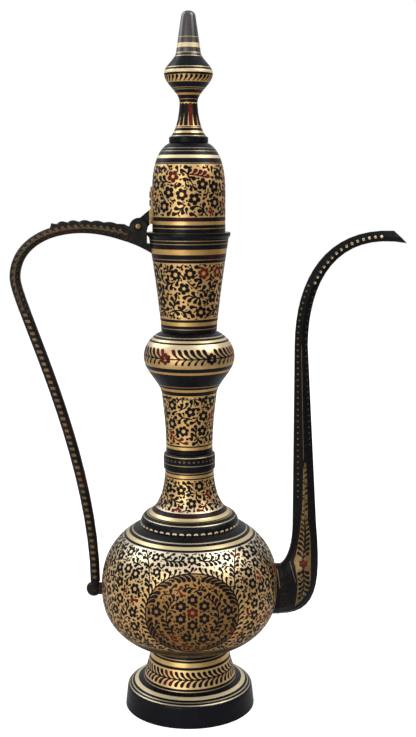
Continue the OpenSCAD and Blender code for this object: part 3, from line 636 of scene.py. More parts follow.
class Skin:
    """The outer surface of one or more turned pieces, measured along its section and round its axis."""

    # Play at the joints of pieces, and the least rise from one point to the next
    PLAY = 0.01
    RISE = 1e-4

    def __init__(self, *sections: Section, tenon: float = 0.0) -> None:
        """Joins the outer walls of pieces that stand on each other, each with a tenon in the one below."""
        joints = [-math.inf, *(s.base + tenon for s in sections[1:]), math.inf]
        wall = np.vstack([s.outer[(s.outer[:, 1] >= low - self.PLAY) & (s.outer[:, 1] <= high + self.PLAY)]
                          for s, low, high in zip(sections, joints, joints[1:])])
        highest = np.concatenate([[-math.inf], np.maximum.accumulate(wall[:-1, 1])])
        self.wall = wall[wall[:, 1] > highest + self.RISE]
        self.along = run_of(self.wall)
        ways = np.gradient(self.wall, self.along, axis=0)
        self.normals = np.column_stack([ways[:, 1], -ways[:, 0]]) / np.hypot(*ways.T)[:, None]

    def at_height(self, height: float) -> float:
        """Returns the distance along the section at a height above the table."""
        return float(np.interp(height, self.wall[:, 1], self.along))

    def radius(self, along: np.ndarray) -> np.ndarray:
        """Returns the radius at distances along the section."""
        return np.interp(along, self.along, self.wall[:, 0])

    def place(self, angle: np.ndarray, along: np.ndarray, lift: np.ndarray) -> np.ndarray:
        """Returns points on the surface, lifted off it, in millimetres."""
        normal = [np.interp(along, self.along, self.normals[:, k]) for k in (0, 1)]
        radius = self.radius(along) + lift * normal[0]
        height = np.interp(along, self.along, self.wall[:, 1]) + lift * normal[1]
        return np.column_stack([radius * np.cos(angle), radius * np.sin(angle), height])


@dataclass
class TurnedPiece:
    """A turned piece with its bands, spun from the section of its CAD node."""

    # Room between a band's edge and the ends of the section, and the least distance between two edges
    END_ROOM = 0.05
    EDGE_ROOM = 0.04
    # Distance at which spun points merge, and the least angle of a sharp edge
    MERGE = 0.002
    SHARP = math.radians(32)

    node: str
    body: str
    slot: str
    base_coat: Coat
    stripes: Sequence[Stripe] = ()
    steps: int = 128
    section: Section = field(init=False)

    def __post_init__(self) -> None:
        """Reads the section."""
        self.section = Section(self.node)

    def coat_at(self, height: float) -> Coat:
        """Returns the coat at a height above the piece's foot, where the first stripe of several counts."""
        return next((s.coat for s in self.stripes if s.low <= height < s.high), self.base_coat)

    def banded_wall(self) -> tuple[np.ndarray, list[Coat]]:
        """Returns the outer wall with a step at each edge of bare metal, and the coat of each stretch."""
        skin = Skin(self.section)
        edges = [skin.at_height(self.section.base + h) for s in self.stripes for h in (s.low, s.high)]
        inside = [e for e in edges if self.END_ROOM < e < skin.along[-1] - self.END_ROOM]
        marks = np.unique(np.round(np.concatenate([skin.along, inside]), 3))
        marks = marks[np.concatenate([[True], np.diff(marks) > self.EDGE_ROOM])]
        points: list[np.ndarray] = []
        coats: list[Coat] = []
        for low, high in zip(marks, marks[1:]):
            middle = skin.place(np.zeros(1), np.array([(low + high) / 2]), np.zeros(1))[0, 2]
            coat = self.coat_at(middle - self.section.base)
            sunk = np.full(2, -METAL_SUNK if coat.is_metal else 0.0)
            ends = skin.place(np.zeros(2), np.array([low, high]), sunk)[:, [0, 2]]
            if not points:
                points.append(ends[0])
            elif np.abs(points[-1] - ends[0]).max() > METAL_SUNK / 2:
                points.append(ends[0])
                coats.append(Coat.LACQUER)
            points.append(ends[1])
            coats.append(coat)
        return np.array(points), coats

    def build(self) -> None:
        """Spins the section round the axis and paints its bands."""
        wall, coats = self.banded_wall()
        loop = np.vstack([wall, self.section.inner])
        coats = coats + [Coat.INSIDE] * (len(loop) - len(coats))
        closed = loop[:, 0].min() > Section.SAME
        count = len(loop)
        edges = [(i, (i + 1) % count) for i in range(count if closed else count - 1)]
        mesh = bpy.data.meshes.new(self.node + "_turned")
        mesh.from_pydata([(r * MM, 0.0, z * MM) for r, z in loop], edges, [])
        piece = bpy.data.objects.new(self.node + "_turned", mesh)
        bpy.context.scene.collection.objects.link(piece)
        pick(piece)
        bpy.ops.object.mode_set(mode="EDIT")
        bpy.ops.mesh.select_all(action="SELECT")
        bpy.ops.mesh.spin(steps=self.steps, angle=2 * math.pi, center=(0, 0, 0), axis=(0, 0, 1))
        bpy.ops.mesh.select_all(action="SELECT")
        bpy.ops.mesh.remove_doubles(threshold=self.MERGE * MM)
        bpy.ops.mesh.normals_make_consistent(inside=False)
        bpy.ops.object.mode_set(mode="OBJECT")
        self._paint(piece, loop, edges, coats)
        bpy.ops.object.shade_smooth_by_angle(angle=self.SHARP)
        settle(piece, self.body, [self.node])

    @staticmethod
    def _paint(piece: Object, loop: np.ndarray, edges: Sequence[tuple[int, int]],
               coats: Sequence[Coat]) -> None:
        """Gives each face the coat of the stretch of section that it was spun from."""
        kinds = list(Coat)
        for coat in kinds:
            piece.data.materials.append(FINISH.coats[coat])
        middles = np.array([(loop[a] + loop[b]) / 2 for a, b in edges])
        for face in piece.data.polygons:
            corners = np.array([piece.data.vertices[k].co for k in face.vertices]) / MM
            spot = (np.hypot(corners[:, 0], corners[:, 1]).mean(), corners[:, 2].mean())
            nearest = int(np.argmin(((middles - spot) ** 2).sum(axis=1)))
            face.material_index = kinds.index(coats[nearest])


@dataclass(frozen=True)
class Template:
    """A motif modelled once: corners [x, y, level], faces, points it covers and points that must be free."""

    corners: np.ndarray
    faces: list[Face]
    cover: np.ndarray
    probe: np.ndarray


class MotifKit:
    """Models the few motifs of the engraving, with x along their length, in millimetres."""

    # Free room round a motif, and the spacing of the points that it covers
    GAP = 0.15
    GRAIN = 0.3
    # Turn of a common leaf's spine, in radians
    BEND = 1.15
    # Radius of a petal and of the bare heart, as shares of a flower's width
    PETAL_SHARE = {5: 0.2, 6: 0.18}
    HEART_SHARE = 0.185
    # Share of the length and of the width at each station, from the tail to the head
    LEAF_SHAPE = ((0.0, 0.4), (0.3, 0.42), (0.55, 0.7), (0.74, 1.0), (0.92, 0.94), (1.0, 0.5))
    TONGUE_SHAPE = ((0.0, 0.84), (0.3, 0.84), (0.6, 0.9), (0.86, 1.0), (0.94, 0.86), (0.98, 0.58),
                    (1.0, 0.25))

    def leaf(self, length: float, width: float, bend: float, shape: Sequence[Point2] = LEAF_SHAPE,
             columns: int = 1) -> Template:
        """Returns a comma leaf.

        Args:
            length: along its spine.
            width: at its blunt end.
            bend: how far the spine turns, in radians.
            shape: shares of length and width from the tail to the head.
            columns: faces across it, more than one where it lies round a thin stem.

        Returns:
            The motif.
        """
        count = len(shape)
        shares, widths = zip(*shape)
        spine = [np.zeros(2)]
        for before, after in zip(shares, shares[1:]):
            turn = bend * (before + after) / 2
            spine.append(spine[-1] + length * (after - before) * np.array([math.cos(turn), math.sin(turn)]))
        deselect_all()
        bpy.ops.mesh.primitive_grid_add(x_subdivisions=count - 1, y_subdivisions=columns, size=2)
        piece = bpy.context.object
        for corner in piece.data.vertices:
            k = round((corner.co.x + 1) / 2 * (count - 1))
            turn = bend * shares[k]
            half = widths[k] * width / 2 * corner.co.y
            corner.co = (spine[k][0] - half * math.sin(turn), spine[k][1] + half * math.cos(turn), 0.0)
        discs = np.array([[*spine[k], widths[k] * width / 2] for k in range(count)])
        return self._raised(piece, discs, count // 2)

    def oval(self, length: float, width: float) -> Template:
        """Returns a flat oval."""
        one = self.petals(1, 0.5, 0.0)
        stretch = np.array([length, width])
        corners = one.corners * (length, width, 1.0)
        return Template(corners, one.faces, one.cover * stretch, one.probe * stretch)

    def petals(self, count: int, petal: float, ring: float, heart: float = 0.0) -> Template:
        """Returns round petals in a ring, or one dot when the ring has no radius.

        Args:
            count: number of petals.
            petal: radius of a petal.
            ring: radius of the circle through their middles.
            heart: radius of the bare middle of a hoop that joins the petals, or 0 for no hoop.

        Returns:
            The motif.
        """
        deselect_all()
        bpy.ops.mesh.primitive_circle_add(vertices=8, radius=petal, fill_type="TRIFAN")
        one = self._raised(bpy.context.object, np.array([[0.0, 0.0, petal]]), 0)
        corners, faces, discs = [], [], [[0.0, 0.0, max(ring - petal, 0.1)]]
        for k in range(count):
            turn = 2 * math.pi * k / count + math.pi / 2
            shift = np.array([ring * math.cos(turn), ring * math.sin(turn), 0.0])
            faces += [tuple(c + len(one.corners) * k for c in face) for face in one.faces]
            corners.append(one.corners + shift)
            discs.append([shift[0], shift[1], petal])
        if heart:
            hoop = self._hoop(ring, heart)
            faces += [tuple(c + len(one.corners) * count for c in face) for face in hoop.faces]
            corners.append(hoop.corners)
        return Template(np.vstack(corners), faces, self._cover(np.array(discs)), self._probe(np.array(discs)))

    def flower(self, count: int, size: float) -> Template:
        """Returns a flower of five or six petals round a bare heart."""
        petal = self.PETAL_SHARE[count]
        return self.petals(count, petal * size, (0.5 - petal) * size, self.HEART_SHARE * size)

    def _hoop(self, outer: float, inner: float) -> Template:
        """Returns a flat ring."""
        deselect_all()
        bpy.ops.mesh.primitive_circle_add(vertices=12, radius=outer, fill_type="NOTHING")
        piece = bpy.context.object
        bpy.ops.object.mode_set(mode="EDIT")
        bpy.ops.mesh.select_all(action="SELECT")
        bpy.ops.mesh.extrude_region_move()
        bpy.ops.transform.resize(value=(inner / outer, inner / outer, 1.0))
        bpy.ops.object.mode_set(mode="OBJECT")
        return self._raised(piece, np.array([[0.0, 0.0, outer]]), 0)

    def sprig(self, lobes: int, length: float, width: float) -> Template:
        """Returns short leaves that spread from one point."""
        leaf = self.leaf(length, width, 0.25)
        corners, faces, cover = [], [], []
        for k in range(lobes):
            turn = 2 * math.pi * (k + 0.5) / lobes
            swing = np.array([[math.cos(turn), math.sin(turn)], [-math.sin(turn), math.cos(turn)]])
            faces += [tuple(c + len(leaf.corners) * k for c in face) for face in leaf.faces]
            corners.append(np.column_stack([leaf.corners[:, :2] @ swing, leaf.corners[:, 2]]))
            cover.append(leaf.cover @ swing)
        cover = np.vstack(cover)
        return Template(np.vstack(corners), faces, cover, cover * (1 + 2 * self.GAP / length))

    def _raised(self, piece: Object, discs: np.ndarray, root: int) -> Template:
        """Extrudes a flat motif to one level, reads all but its hidden underside and removes it."""
        pick(piece)
        bpy.ops.object.mode_set(mode="EDIT")
        bpy.ops.mesh.select_all(action="SELECT")
        bpy.ops.mesh.extrude_region_move(TRANSFORM_OT_translate={"value": (0, 0, 1)})
        bpy.ops.mesh.select_all(action="SELECT")
        bpy.ops.mesh.normals_make_consistent(inside=False)
        bpy.ops.object.mode_set(mode="OBJECT")
        corners = np.array([corner.co[:] for corner in piece.data.vertices])
        faces = [tuple(face.vertices) for face in piece.data.polygons]
        faces = [face for face in faces if corners[list(face), 2].max() > HALF_LEVEL]
        bpy.ops.object.delete()
        return Template(corners, faces, self._cover(discs), self._probe(discs[root:]))

    def _cover(self, discs: np.ndarray) -> np.ndarray:
        """Returns points close together over all discs."""
        found = []
        for x, y, radius in discs:
            reach = np.arange(-radius, radius + self.GRAIN, self.GRAIN)
            grid = np.stack(np.meshgrid(reach, reach), -1).reshape(-1, 2)
            found.append(grid[np.hypot(*grid.T) <= radius + self.GRAIN / 2] + (x, y))
        return np.vstack(found)

    def _probe(self, discs: np.ndarray) -> np.ndarray:
        """Returns the points on and round the discs that must be free."""
        turn = np.arange(8) * math.pi / 4
        ring = np.column_stack([np.cos(turn), np.sin(turn)])
        return np.vstack([discs[:, :2], *[ring * (r + self.GAP) + (x, y) for x, y, r in discs]])


KIT = MotifKit()


class Ornament:
    """A piece that is collected motif by motif."""

    # Least angle of a sharp edge
    SHARP = math.radians(40)

    def __init__(self, name: str) -> None:
        """Starts an empty piece."""
        self.name = name
        self.points: list[np.ndarray] = []
        self.faces: list[Face] = []
        self.slots: list[int] = []
        self.count = 0

    def keep(self, points: np.ndarray, faces: Iterable[Face], slot: int) -> None:
        """Adds corners, and faces between them that have one material slot."""
        before = len(self.faces)
        self.faces += [tuple(c + self.count for c in face) for face in faces]
        self.slots += [slot] * (len(self.faces) - before)
        self.points.append(points)
        self.count += len(points)

    def make(self, points: np.ndarray, body: str, slot: str, materials: Sequence[Material]) -> None:
        """Makes the piece, with its corners at these points, and fixes it to a body."""
        piece = mesh_piece(self.name, points, self.faces, materials, self.slots)
        pick(piece)
        bpy.ops.object.shade_smooth_by_angle(angle=self.SHARP)
        settle(piece, body)


class Inlay(Ornament):
    """Lacquer motifs let into the bare ground of one skin, placed so that none covers another."""

    # Size of the cells that mark taken ground, and the spread of the red places' radii
    CELL = 0.3
    RED_SPREAD = (0.6, 1.3)
    # Angle between a stem and its leaves, and the distance to both sides over which a heading is measured
    SPREAD = 0.3
    NEAR = 0.4
    # A growing stem's stride, its greatest bend and waver at each stride, and the free room round its tip
    STRIDE = 1.6
    CURL = 0.15
    WAVER = 0.05
    TIP_ROOM = 0.75
    # Turn of a growing stem's last leaf, and the share of its leaves that must find room
    END_TURN = 0.2
    LEAST_ROOM = 0.6

    def __init__(self, name: str, skin: Skin, low: float, high: float, seed: int, red: int = 0,
                 red_reach: float = 6.0) -> None:
        """Starts an empty ground.

        Args:
            name: name of the finished piece.
            skin: the surface.
            low: height of the ground's lower edge above the table.
            high: height of its upper edge.
            seed: start of its random choices.
            red: number of places where the motifs are red.
            red_reach: radius of such a place.
        """
        super().__init__(name)
        self.skin = skin
        self.low, self.high = skin.at_height(low), skin.at_height(high)
        self.dice = random.Random(seed)
        widest = skin.radius(np.linspace(self.low, self.high, 60)).max()
        self.rows = math.ceil((self.high - self.low) / self.CELL)
        self.columns = math.ceil(2 * math.pi * widest / self.CELL)
        self.taken = np.zeros((self.rows, self.columns), bool)
        self.red_spots = [(*self.somewhere(), red_reach * self.dice.uniform(*self.RED_SPREAD))
                          for _ in range(red)]

    def somewhere(self) -> tuple[float, float]:
        """Returns a random place."""
        return self.dice.uniform(-math.pi, math.pi), self.dice.uniform(self.low, self.high)

    def moved(self, angle: float, along: float, local: np.ndarray) -> tuple[np.ndarray, np.ndarray]:
        """Returns the angles and distances of points given in millimetres right of and above a place."""
        there = along + local[:, 1]
        return angle + local[:, 0] / np.maximum(self.skin.radius(there), 1.0), there

    def cells(self, angle: np.ndarray, along: np.ndarray) -> tuple[np.ndarray, np.ndarray, np.ndarray]:
        """Returns the row and column of places, and which of them lie on the ground."""
        row = np.floor((along - self.low) / self.CELL).astype(int)
        column = np.floor((angle / (2 * math.pi)) % 1.0 * self.columns).astype(int) % self.columns
        return row, column, (row >= 0) & (row < self.rows)

    def is_free(self, angle: np.ndarray, along: np.ndarray) -> bool:
        """True when every place is on the ground and not taken."""
        row, column, inside = self.cells(angle, along)
        return bool(inside.all()) and not self.taken[row, column].any()

    def claim(self, angle: np.ndarray, along: np.ndarray) -> None:
        """Marks places as taken."""
        row, column, inside = self.cells(angle, along)
        self.taken[row[inside], column[inside]] = True

    def ink_at(self, angle: float, along: float) -> Ink:
        """Returns the ink for a place."""
        for there, height, reach in self.red_spots:
            aside = ((angle - there + math.pi) % (2 * math.pi) - math.pi) * self.skin.radius(along)
            if math.hypot(aside, along - height) < reach:
                return Ink.RED
        return Ink.BLACK

    @staticmethod
    def swung(points: np.ndarray, turn: float, scale: float, mirror: bool) -> np.ndarray:
        """Returns flat points turned, scaled and, if asked, mirrored first."""
        flat = points[:, :2] * (scale, -scale if mirror else scale)
        c, s = math.cos(turn), math.sin(turn)
        return np.column_stack([flat[:, 0] * c - flat[:, 1] * s, flat[:, 0] * s + flat[:, 1] * c])

    def stamp(self, motif: Template, angle: float, along: float, turn: float = 0.0, scale: float = 1.0,
              mirror: bool = False, ink: Optional[Ink] = None, force: bool = False) -> bool:
        """Places a motif where it fits.

        Args:
            motif: what to place.
            angle: round the axis.
            along: distance along the section.
            turn: of the motif's length from the direction of rising angle.
            scale: of its size.
            mirror: whether its left and right change places.
            ink: its colour, or none to take that of the place.
            force: places it even on taken ground.

        Returns:
            True when it was placed.
        """
        swing = (turn, scale, mirror)
        if not force and not self.is_free(*self.moved(angle, along, self.swung(motif.probe, *swing))):
            return False
        self.claim(*self.moved(angle, along, self.swung(motif.cover, *swing)))
        there = self.moved(angle, along, self.swung(motif.corners, *swing))
        faces = [face[::-1] for face in motif.faces] if mirror else motif.faces
        places = np.column_stack([*there, motif.corners[:, 2]])
        self.keep(places, faces, (ink or self.ink_at(angle, along)).value)
        return True

    def stem(self, path: Sequence[Point2], width: float = 1.0, ink: Optional[Ink] = None,
             closed: bool = False) -> None:
        """Draws a line along places [angle, along].

        Args:
            path: the places.
            width: of the line.
            ink: its colour, or none to take that of its middle.
            closed: whether its end joins its start.
        """
        way = np.array(path)
        radius = self.skin.radius(way[:, 1])
        ahead, behind = np.roll(way, -1, 0), np.roll(way, 1, 0)
        if not closed:
            ahead[-1], behind[0] = way[-1], way[0]
        step = (ahead - behind) * np.column_stack([radius, np.ones_like(radius)])
        normal = np.column_stack([-step[:, 1], step[:, 0]]) / np.maximum(np.hypot(*step.T), 1e-6)[:, None]
        aside = normal * width / 2 / np.column_stack([radius, np.ones_like(radius)])
        rows = [np.column_stack([way + side * aside, np.full(len(way), level)])
                for side, level in ((1, 0), (1, 1), (-1, 1), (-1, 0))]
        faces = [face[::-1] for face in quads(len(rows), len(way), closed)]
        middle = way[len(way) // 2]
        self.keep(np.vstack(rows), faces, (ink or self.ink_at(*middle)).value)
        for share in np.linspace(0.0, 1.0, 6):
            between = way + (ahead - way) * share
            for side in (-0.9, 0.0, 0.9):
                self.claim(*(between + side * aside).T)

    def leaf_places(self, path: Sequence[Point2], pitch: float, spread: float, sides: Sequence[int],
                    paired: bool) -> list[tuple[float, float, float, bool]]:
        """Returns [angle, along, turn, mirror] of the leaves along a path."""
        way = np.array(path)
        radius = self.skin.radius(way[:, 1])
        flat = np.column_stack([summed(np.diff(way[:, 0]) * radius[1:]), way[:, 1]])
        run = run_of(flat)
        places = []
        for side in sides:
            offset = 0.5 if paired or side > 0 else 1.0
            for spot in np.arange(offset * pitch, run[-1] + 0.01, pitch):
                here, there = (np.array([np.interp(s, run, c) for c in flat.T])
                               for s in (spot - self.NEAR, spot + self.NEAR))
                heading = math.atan2(*(there - here)[::-1])
                angle, along = (float(np.interp(spot, run, c)) for c in way.T)
                places.append((angle, along, heading + side * spread, side < 0))
        return places

    def leaves(self, path: Sequence[Point2], leaf: Template, pitch: float, spread: float = SPREAD,
               sides: Sequence[int] = (1, -1), scale: float = 1.0, paired: bool = False,
               ink: Optional[Ink] = None) -> None:
        """Sets leaves along a path.

        Args:
            path: places [angle, along] in the direction of growth.
            leaf: the leaf.
            pitch: distance between leaves on one side.
            spread: angle between stem and leaf.
            sides: 1 for the left side of the growth, -1 for the right.
            scale: of the leaf.
            paired: whether the leaves of both sides stand opposite each other.
            ink: colour of all, or none to take that of each place.
        """
        for angle, along, turn, mirror in self.leaf_places(path, pitch, spread, sides, paired):
            self.stamp(leaf, angle, along, turn, scale, mirror, ink)

    def grow(self, angle: float, along: float, heading: float, leaf: Template, strides: int, pitch: float,
             shortest: int = 4, ink: Ink = Ink.BLACK) -> bool:
        """Grows a leafy stem from a place until it meets something.

        Args:
            angle: of its foot.
            along: distance of its foot along the section.
            heading: its first direction.
            leaf: its leaf.
            strides: its greatest length in strides.
            pitch: distance between leaves on one side.
            shortest: its least length in strides.
            ink: its colour.

        Returns:
            True when it had room for most of its leaves.
        """
        path = [(angle, along)]
        bend = self.dice.uniform(-self.CURL, self.CURL)
        turn = np.arange(6) * math.pi / 3
        around = self.TIP_ROOM * np.column_stack([np.cos(turn), np.sin(turn)])
        for _ in range(strides):
            heading += bend + self.dice.uniform(-self.WAVER, self.WAVER)
            step = np.array([[self.STRIDE * math.cos(heading), self.STRIDE * math.sin(heading)]])
            there = tuple(float(c[0]) for c in self.moved(*path[-1], step))
            if not self.is_free(*self.moved(*there, around)):
                break
            path.append(there)
        if len(path) < shortest:
            return False
        places = self.leaf_places(path, pitch, self.SPREAD, (1, -1), False)
        room = sum(self.is_free(*self.moved(foot, level, self.swung(leaf.probe, turn, 1.0, mirror)))
                   for foot, level, turn, mirror in places)
        if room < self.LEAST_ROOM * len(places):
            return False
        self.stem(path, 1.0, ink)
        self.leaves(path, leaf, pitch, ink=ink)
        self.stamp(leaf, *path[-1], heading - self.END_TURN, ink=ink)
        return True

    def scatter(self, tries: int, place: Callable[[float, float], bool], most: int = 10**6) -> None:
        """Tries an action at random places.

        Args:
            tries: the greatest number of places.
            place: the action, which returns True when it worked.
            most: how often it works before the tries end.
        """
        done = 0
        for _ in range(tries):
            done += place(*self.somewhere())
            if done >= most:
                break

    def build(self, body: str, slot: str, lift: float = -METAL_SUNK,
              materials: Sequence[Material] = ()) -> None:
        """Makes the piece from all its motifs.

        Args:
            body: the CAD body that carries it.
            slot: not used.
            lift: of the ground's surface off the skin.
            materials: for its two inks, or none for lacquer.
        """
        places = np.vstack(self.points)
        height = np.where(places[:, 2] < HALF_LEVEL, INLAY_ROOT, lift + INLAY_PROUD)
        points = self.skin.place(places[:, 0], places[:, 1], height)
        self.make(points, body, slot, materials or [FINISH.inks[ink] for ink in Ink])


@dataclass(frozen=True)
class Field:
    """How an all-over floral ground is filled: sizes of its motifs, and the most that are tried."""

    # Tries at flowers, vines and twigs, and the chance that one of them is red
    FLOWER_TRIES = 4000
    VINE_TRIES = 9000
    TWIG_TRIES = 6000
    RED_FLOWERS = 0.06
    RED_VINES = 0.28
    RED_TWIGS = 0.1
    # Shortest and longest vine, in strides
    VINE_STRIDES = (4, 11)
    # Sizes of the smaller leaves, as shares of the common leaf
    SMALL_LEAVES = (0.8, 0.62, 0.46, 0.35)
    # Upper end of the random turns, in radians
    FULL_TURN = 6.3

    flower: float
    spacing: float
    flowers: int
    leaf: float
    vines: int
    fillers: int

    def fill(self, ground: Inlay) -> None:
        """Fills what is free of a ground with flowers, leafy stems, sprigs, single leaves and dots."""
        dice = ground.dice
        blooms = [KIT.flower(count, self.flower) for count in KIT.PETAL_SHARE]
        leaf = KIT.leaf(self.leaf, 0.52 * self.leaf, KIT.BEND)
        sprig = KIT.sprig(4, 0.5 * self.leaf, 0.36 * self.leaf)
        dot = KIT.petals(1, 0.16 * self.leaf, 0.0)
        small = [KIT.leaf(share * self.leaf, 0.56 * share * self.leaf, KIT.BEND)
                 for share in self.SMALL_LEAVES]
        room = KIT.petals(1, self.spacing / 2, 0.0)

        def any_turn() -> float:
            """Returns a random direction."""
            return dice.uniform(0, self.FULL_TURN)

        def any_ink(red: float) -> Ink:
            """Returns red at a given chance, or else black."""
            return Ink.RED if dice.random() < red else Ink.BLACK

        def bloom(angle: float, along: float) -> bool:
            """Sets a flower where no motif is near."""
            free = ground.is_free(*ground.moved(angle, along, room.probe))
            return free and ground.stamp(dice.choice(blooms), angle, along, any_turn(),
                                         ink=any_ink(self.RED_FLOWERS))

        def vine(angle: float, along: float) -> bool:
            """Grows a leafy stem."""
            return ground.grow(angle, along, any_turn(), leaf, dice.randint(*self.VINE_STRIDES),
                               0.58 * self.leaf, ink=any_ink(self.RED_VINES))

        def twig(angle: float, along: float) -> bool:
            """Grows a short stem of small leaves."""
            return ground.grow(angle, along, any_turn(), small[1], 4, 0.4 * self.leaf, 3,
                               any_ink(self.RED_TWIGS))

        def spray(angle: float, along: float) -> bool:
            """Sets a sprig."""
            return ground.stamp(sprig, angle, along, any_turn(), ink=Ink.BLACK)

        ground.scatter(self.FLOWER_TRIES, bloom, self.flowers)
        ground.scatter(self.VINE_TRIES, vine, self.vines)
        ground.scatter(self.TWIG_TRIES, twig, self.vines)
        ground.scatter(self.fillers // 8, spray)
        for motif in (leaf, *small):
            ground.scatter(self.fillers // 3, lambda angle, along: ground.stamp(
                motif, angle, along, any_turn(), 1.0, dice.random() < 0.5, Ink.BLACK))
        ground.scatter(self.fillers // 3, lambda angle, along: ground.stamp(dot, angle, along, ink=Ink.BLACK))


@dataclass
class BellyEngraving:
    """Engraving of the round belly: a medallion in front and behind, vines beside them and floral fields."""

    skin: Skin
    low: float
    high: float
    middle: float
    # Half width and half height of a medallion's ring, its drop below the flowers, and its turn aside
    medallion: Point2 = (38.0, 34.2)
    ring_drop: float = 4.1
    off_centre: float = math.radians(2.6)
    # Width of a flower, length of a leaf, and spacing of the points of an arc
    flower: float = 9.3
    leaf: float = 5.9
    arc_step: float = 1.2
    # Half width and half height of the room for the roots of the spout and the handle, and the drop of both
    spout_room: Point2 = (17.5, 23.0)
    handle_room: Point2 = (9.5, 9.5)
    root_drop: float = 6.0
    # Radii of the circle of six flowers, then places right of and above a medallion's middle
    flower_circle: Point2 = (10.6, 10.2)
    side_flower: Point2 = (28.6, -0.5)
    top_sprig: Point2 = (0.0, 20.5)
    foot_dot: Point2 = (0.0, -28.0)
    upper_flowers: Sequence[Point2] = ((0.0, 40.9), (-29.0, 41.6), (28.5, 41.0), (-28.2, 29.8))
    upper_scale: float = 0.86
    # Start and end of the lashes, in radians from the ring's foot, and size of the outer ones
    inner_lashes: Point2 = (0.05, 3.05)
    outer_lashes: Point2 = (0.6, 3.1)
    outer_scale: float = 0.76
    # Start and end of the curved vines, in radians from the ring's top, and their share of its size
    curved_vines: Point2 = (2.45, 0.7)
    curved_share: float = 0.54
    # Heights of the upright vines above the middle, their distances aside, and their room below the band
    upright_heights: Sequence[float] = (15.0, 26.0, 36.0, 48.0)
    upright_asides: Sequence[float] = (34.6, 34.4, 35.4, 38.5)
    band_room: float = 0.6
    # Side, start and end of the level vines, the lowest point of their curve, and how strongly it bends
    level_vines: Sequence[tuple[int, float, float]] = ((-1, 24.0, 5.5), (1, 5.5, 23.0))
    level_foot: Point2 = (14.0, 39.5)
    level_bend: float = 0.012
    # Height of the matted patch, painted darker as shade, above the sunk metal
    patch_lift: float = 0.03
    ground: Inlay = field(init=False)
    centre: float = field(init=False)
    bloom: Template = field(init=False)
    lash: Template = field(init=False)
    comma: Template = field(init=False)

    def __post_init__(self) -> None:
        """Starts the ground and models the motifs."""
        self.ground = Inlay("belly_engraving", self.skin, self.low, self.high, seed=7, red=44, red_reach=4.2)
        self.centre = self.skin.at_height(self.middle)
        self.bloom = KIT.flower(6, self.flower)
        self.lash = KIT.leaf(9.2, 3.1, 1.1)
        self.comma = KIT.leaf(self.leaf, 0.5 * self.leaf, KIT.BEND)

    def build(self) -> None:
        """Draws the engraving and the matted patches inside the medallions, painted darker as shade."""
        self._keep_clear(0.0, *self.spout_room)
        self._keep_clear(math.pi, *self.handle_room)
        middles = (FRONT + self.off_centre, BACK + self.off_centre)
        for angle in middles:
            self._above(angle)
            self._medallion(angle)
            self._beside(angle)
        Field(self.flower, 10.2, 100, self.leaf, 800, 80000).fill(self.ground)
        self.ground.build("vessel", "engraved_brass")
        for number, angle in enumerate(middles):
            self._patch(f"medallion_shaded_ground_{number}", angle)

    def _keep_clear(self, angle: float, wide: float, high: float) -> None:
        """Keeps the engraving away from the root of a limb."""
        turn = np.linspace(0, 2 * math.pi, 240)
        for share in np.linspace(0.0, 1.0, 90):
            ring = np.column_stack([wide * share * np.cos(turn), high * share * np.sin(turn)])
            self.ground.claim(*self.ground.moved(angle, self.centre - self.root_drop, ring))

    def _ring(self, angle: float, start: float, end: float, share: float) -> list[Point2]:
        """Returns places on an arc at a share of the way from the middle of a medallion to its ring."""
        count = max(8, round(abs(end - start) * share * self.medallion[0] / self.arc_step))
        turn = np.linspace(start, end, count)
        local = share * np.column_stack([self.medallion[0] * np.cos(turn), self.medallion[1] * np.sin(turn)])
        local[:, 1] -= self.ring_drop
        return list(zip(*(c.tolist() for c in self.ground.moved(angle, self.centre, local))))

    def _spot(self, angle: float, x: float, y: float) -> Point2:
        """Returns the place that is x right of and y above the middle of a medallion."""
        there = self.ground.moved(angle, self.centre, np.array([[x, y]]))
        return float(there[0][0]), float(there[1][0])

    def _medallion(self, angle: float) -> None:
        """Draws the ring with its lashes, its flowers and the curved vines beside them."""
        ground, down, up = self.ground, -math.pi / 2, math.pi / 2
        ring = self._ring(angle, down, down + 2 * math.pi, 1.0)
        ground.stem(ring[:-1], 1.1, Ink.BLACK, closed=True)
        ground.stamp(self.bloom, *self._spot(angle, 0.0, 0.0), ink=Ink.RED)
        wide, high = self.flower_circle
        for k in range(6):
            turn = up + k * math.pi / 3
            spot = self._spot(angle, wide * math.cos(turn), high * math.sin(turn))
            ground.stamp(self.bloom, *spot, ink=Ink.BLACK)
        aside, level = self.side_flower
        for side in (-1, 1):
            ground.stamp(self.bloom, *self._spot(angle, aside * side, level), ink=Ink.BLACK)
            inner = self._ring(angle, *(down + turn * side for turn in self.inner_lashes), 1.0)
            ground.leaves(inner, self.lash, 4.3, sides=[side])
            outer = self._ring(angle, *(down + turn * side for turn in self.outer_lashes), 1.0)
            ground.leaves(outer, self.lash, 4.1, sides=[-side], scale=self.outer_scale)
            curve = self._ring(angle, *(up - turn * side for turn in self.curved_vines), self.curved_share)
            ground.stem(curve)
            ground.leaves(curve, self.comma, 3.2)
        ground.stamp(KIT.sprig(4, 3.3, 2.2), *self._spot(angle, *self.top_sprig), ink=Ink.BLACK)
        ground.stamp(KIT.petals(1, 1.6, 0.0), *self._spot(angle, *self.foot_dot), ink=Ink.BLACK)

    def _beside(self, angle: float) -> None:
        """Draws the upright vines between the sides of a medallion and the top band."""
        top = self.ground.high - self.centre - self.band_room
        heights = np.linspace(top, self.upright_heights[0], 34)
        aside = np.interp(heights, self.upright_heights, self.upright_asides)
        for side in (-1, 1):
            path = [self._spot(angle, side * x, y) for x, y in zip(aside, heights)][::-1]
            self.ground.stem(path, 1.0, Ink.BLACK)
            self.ground.leaves(path, self.comma, 3.3)

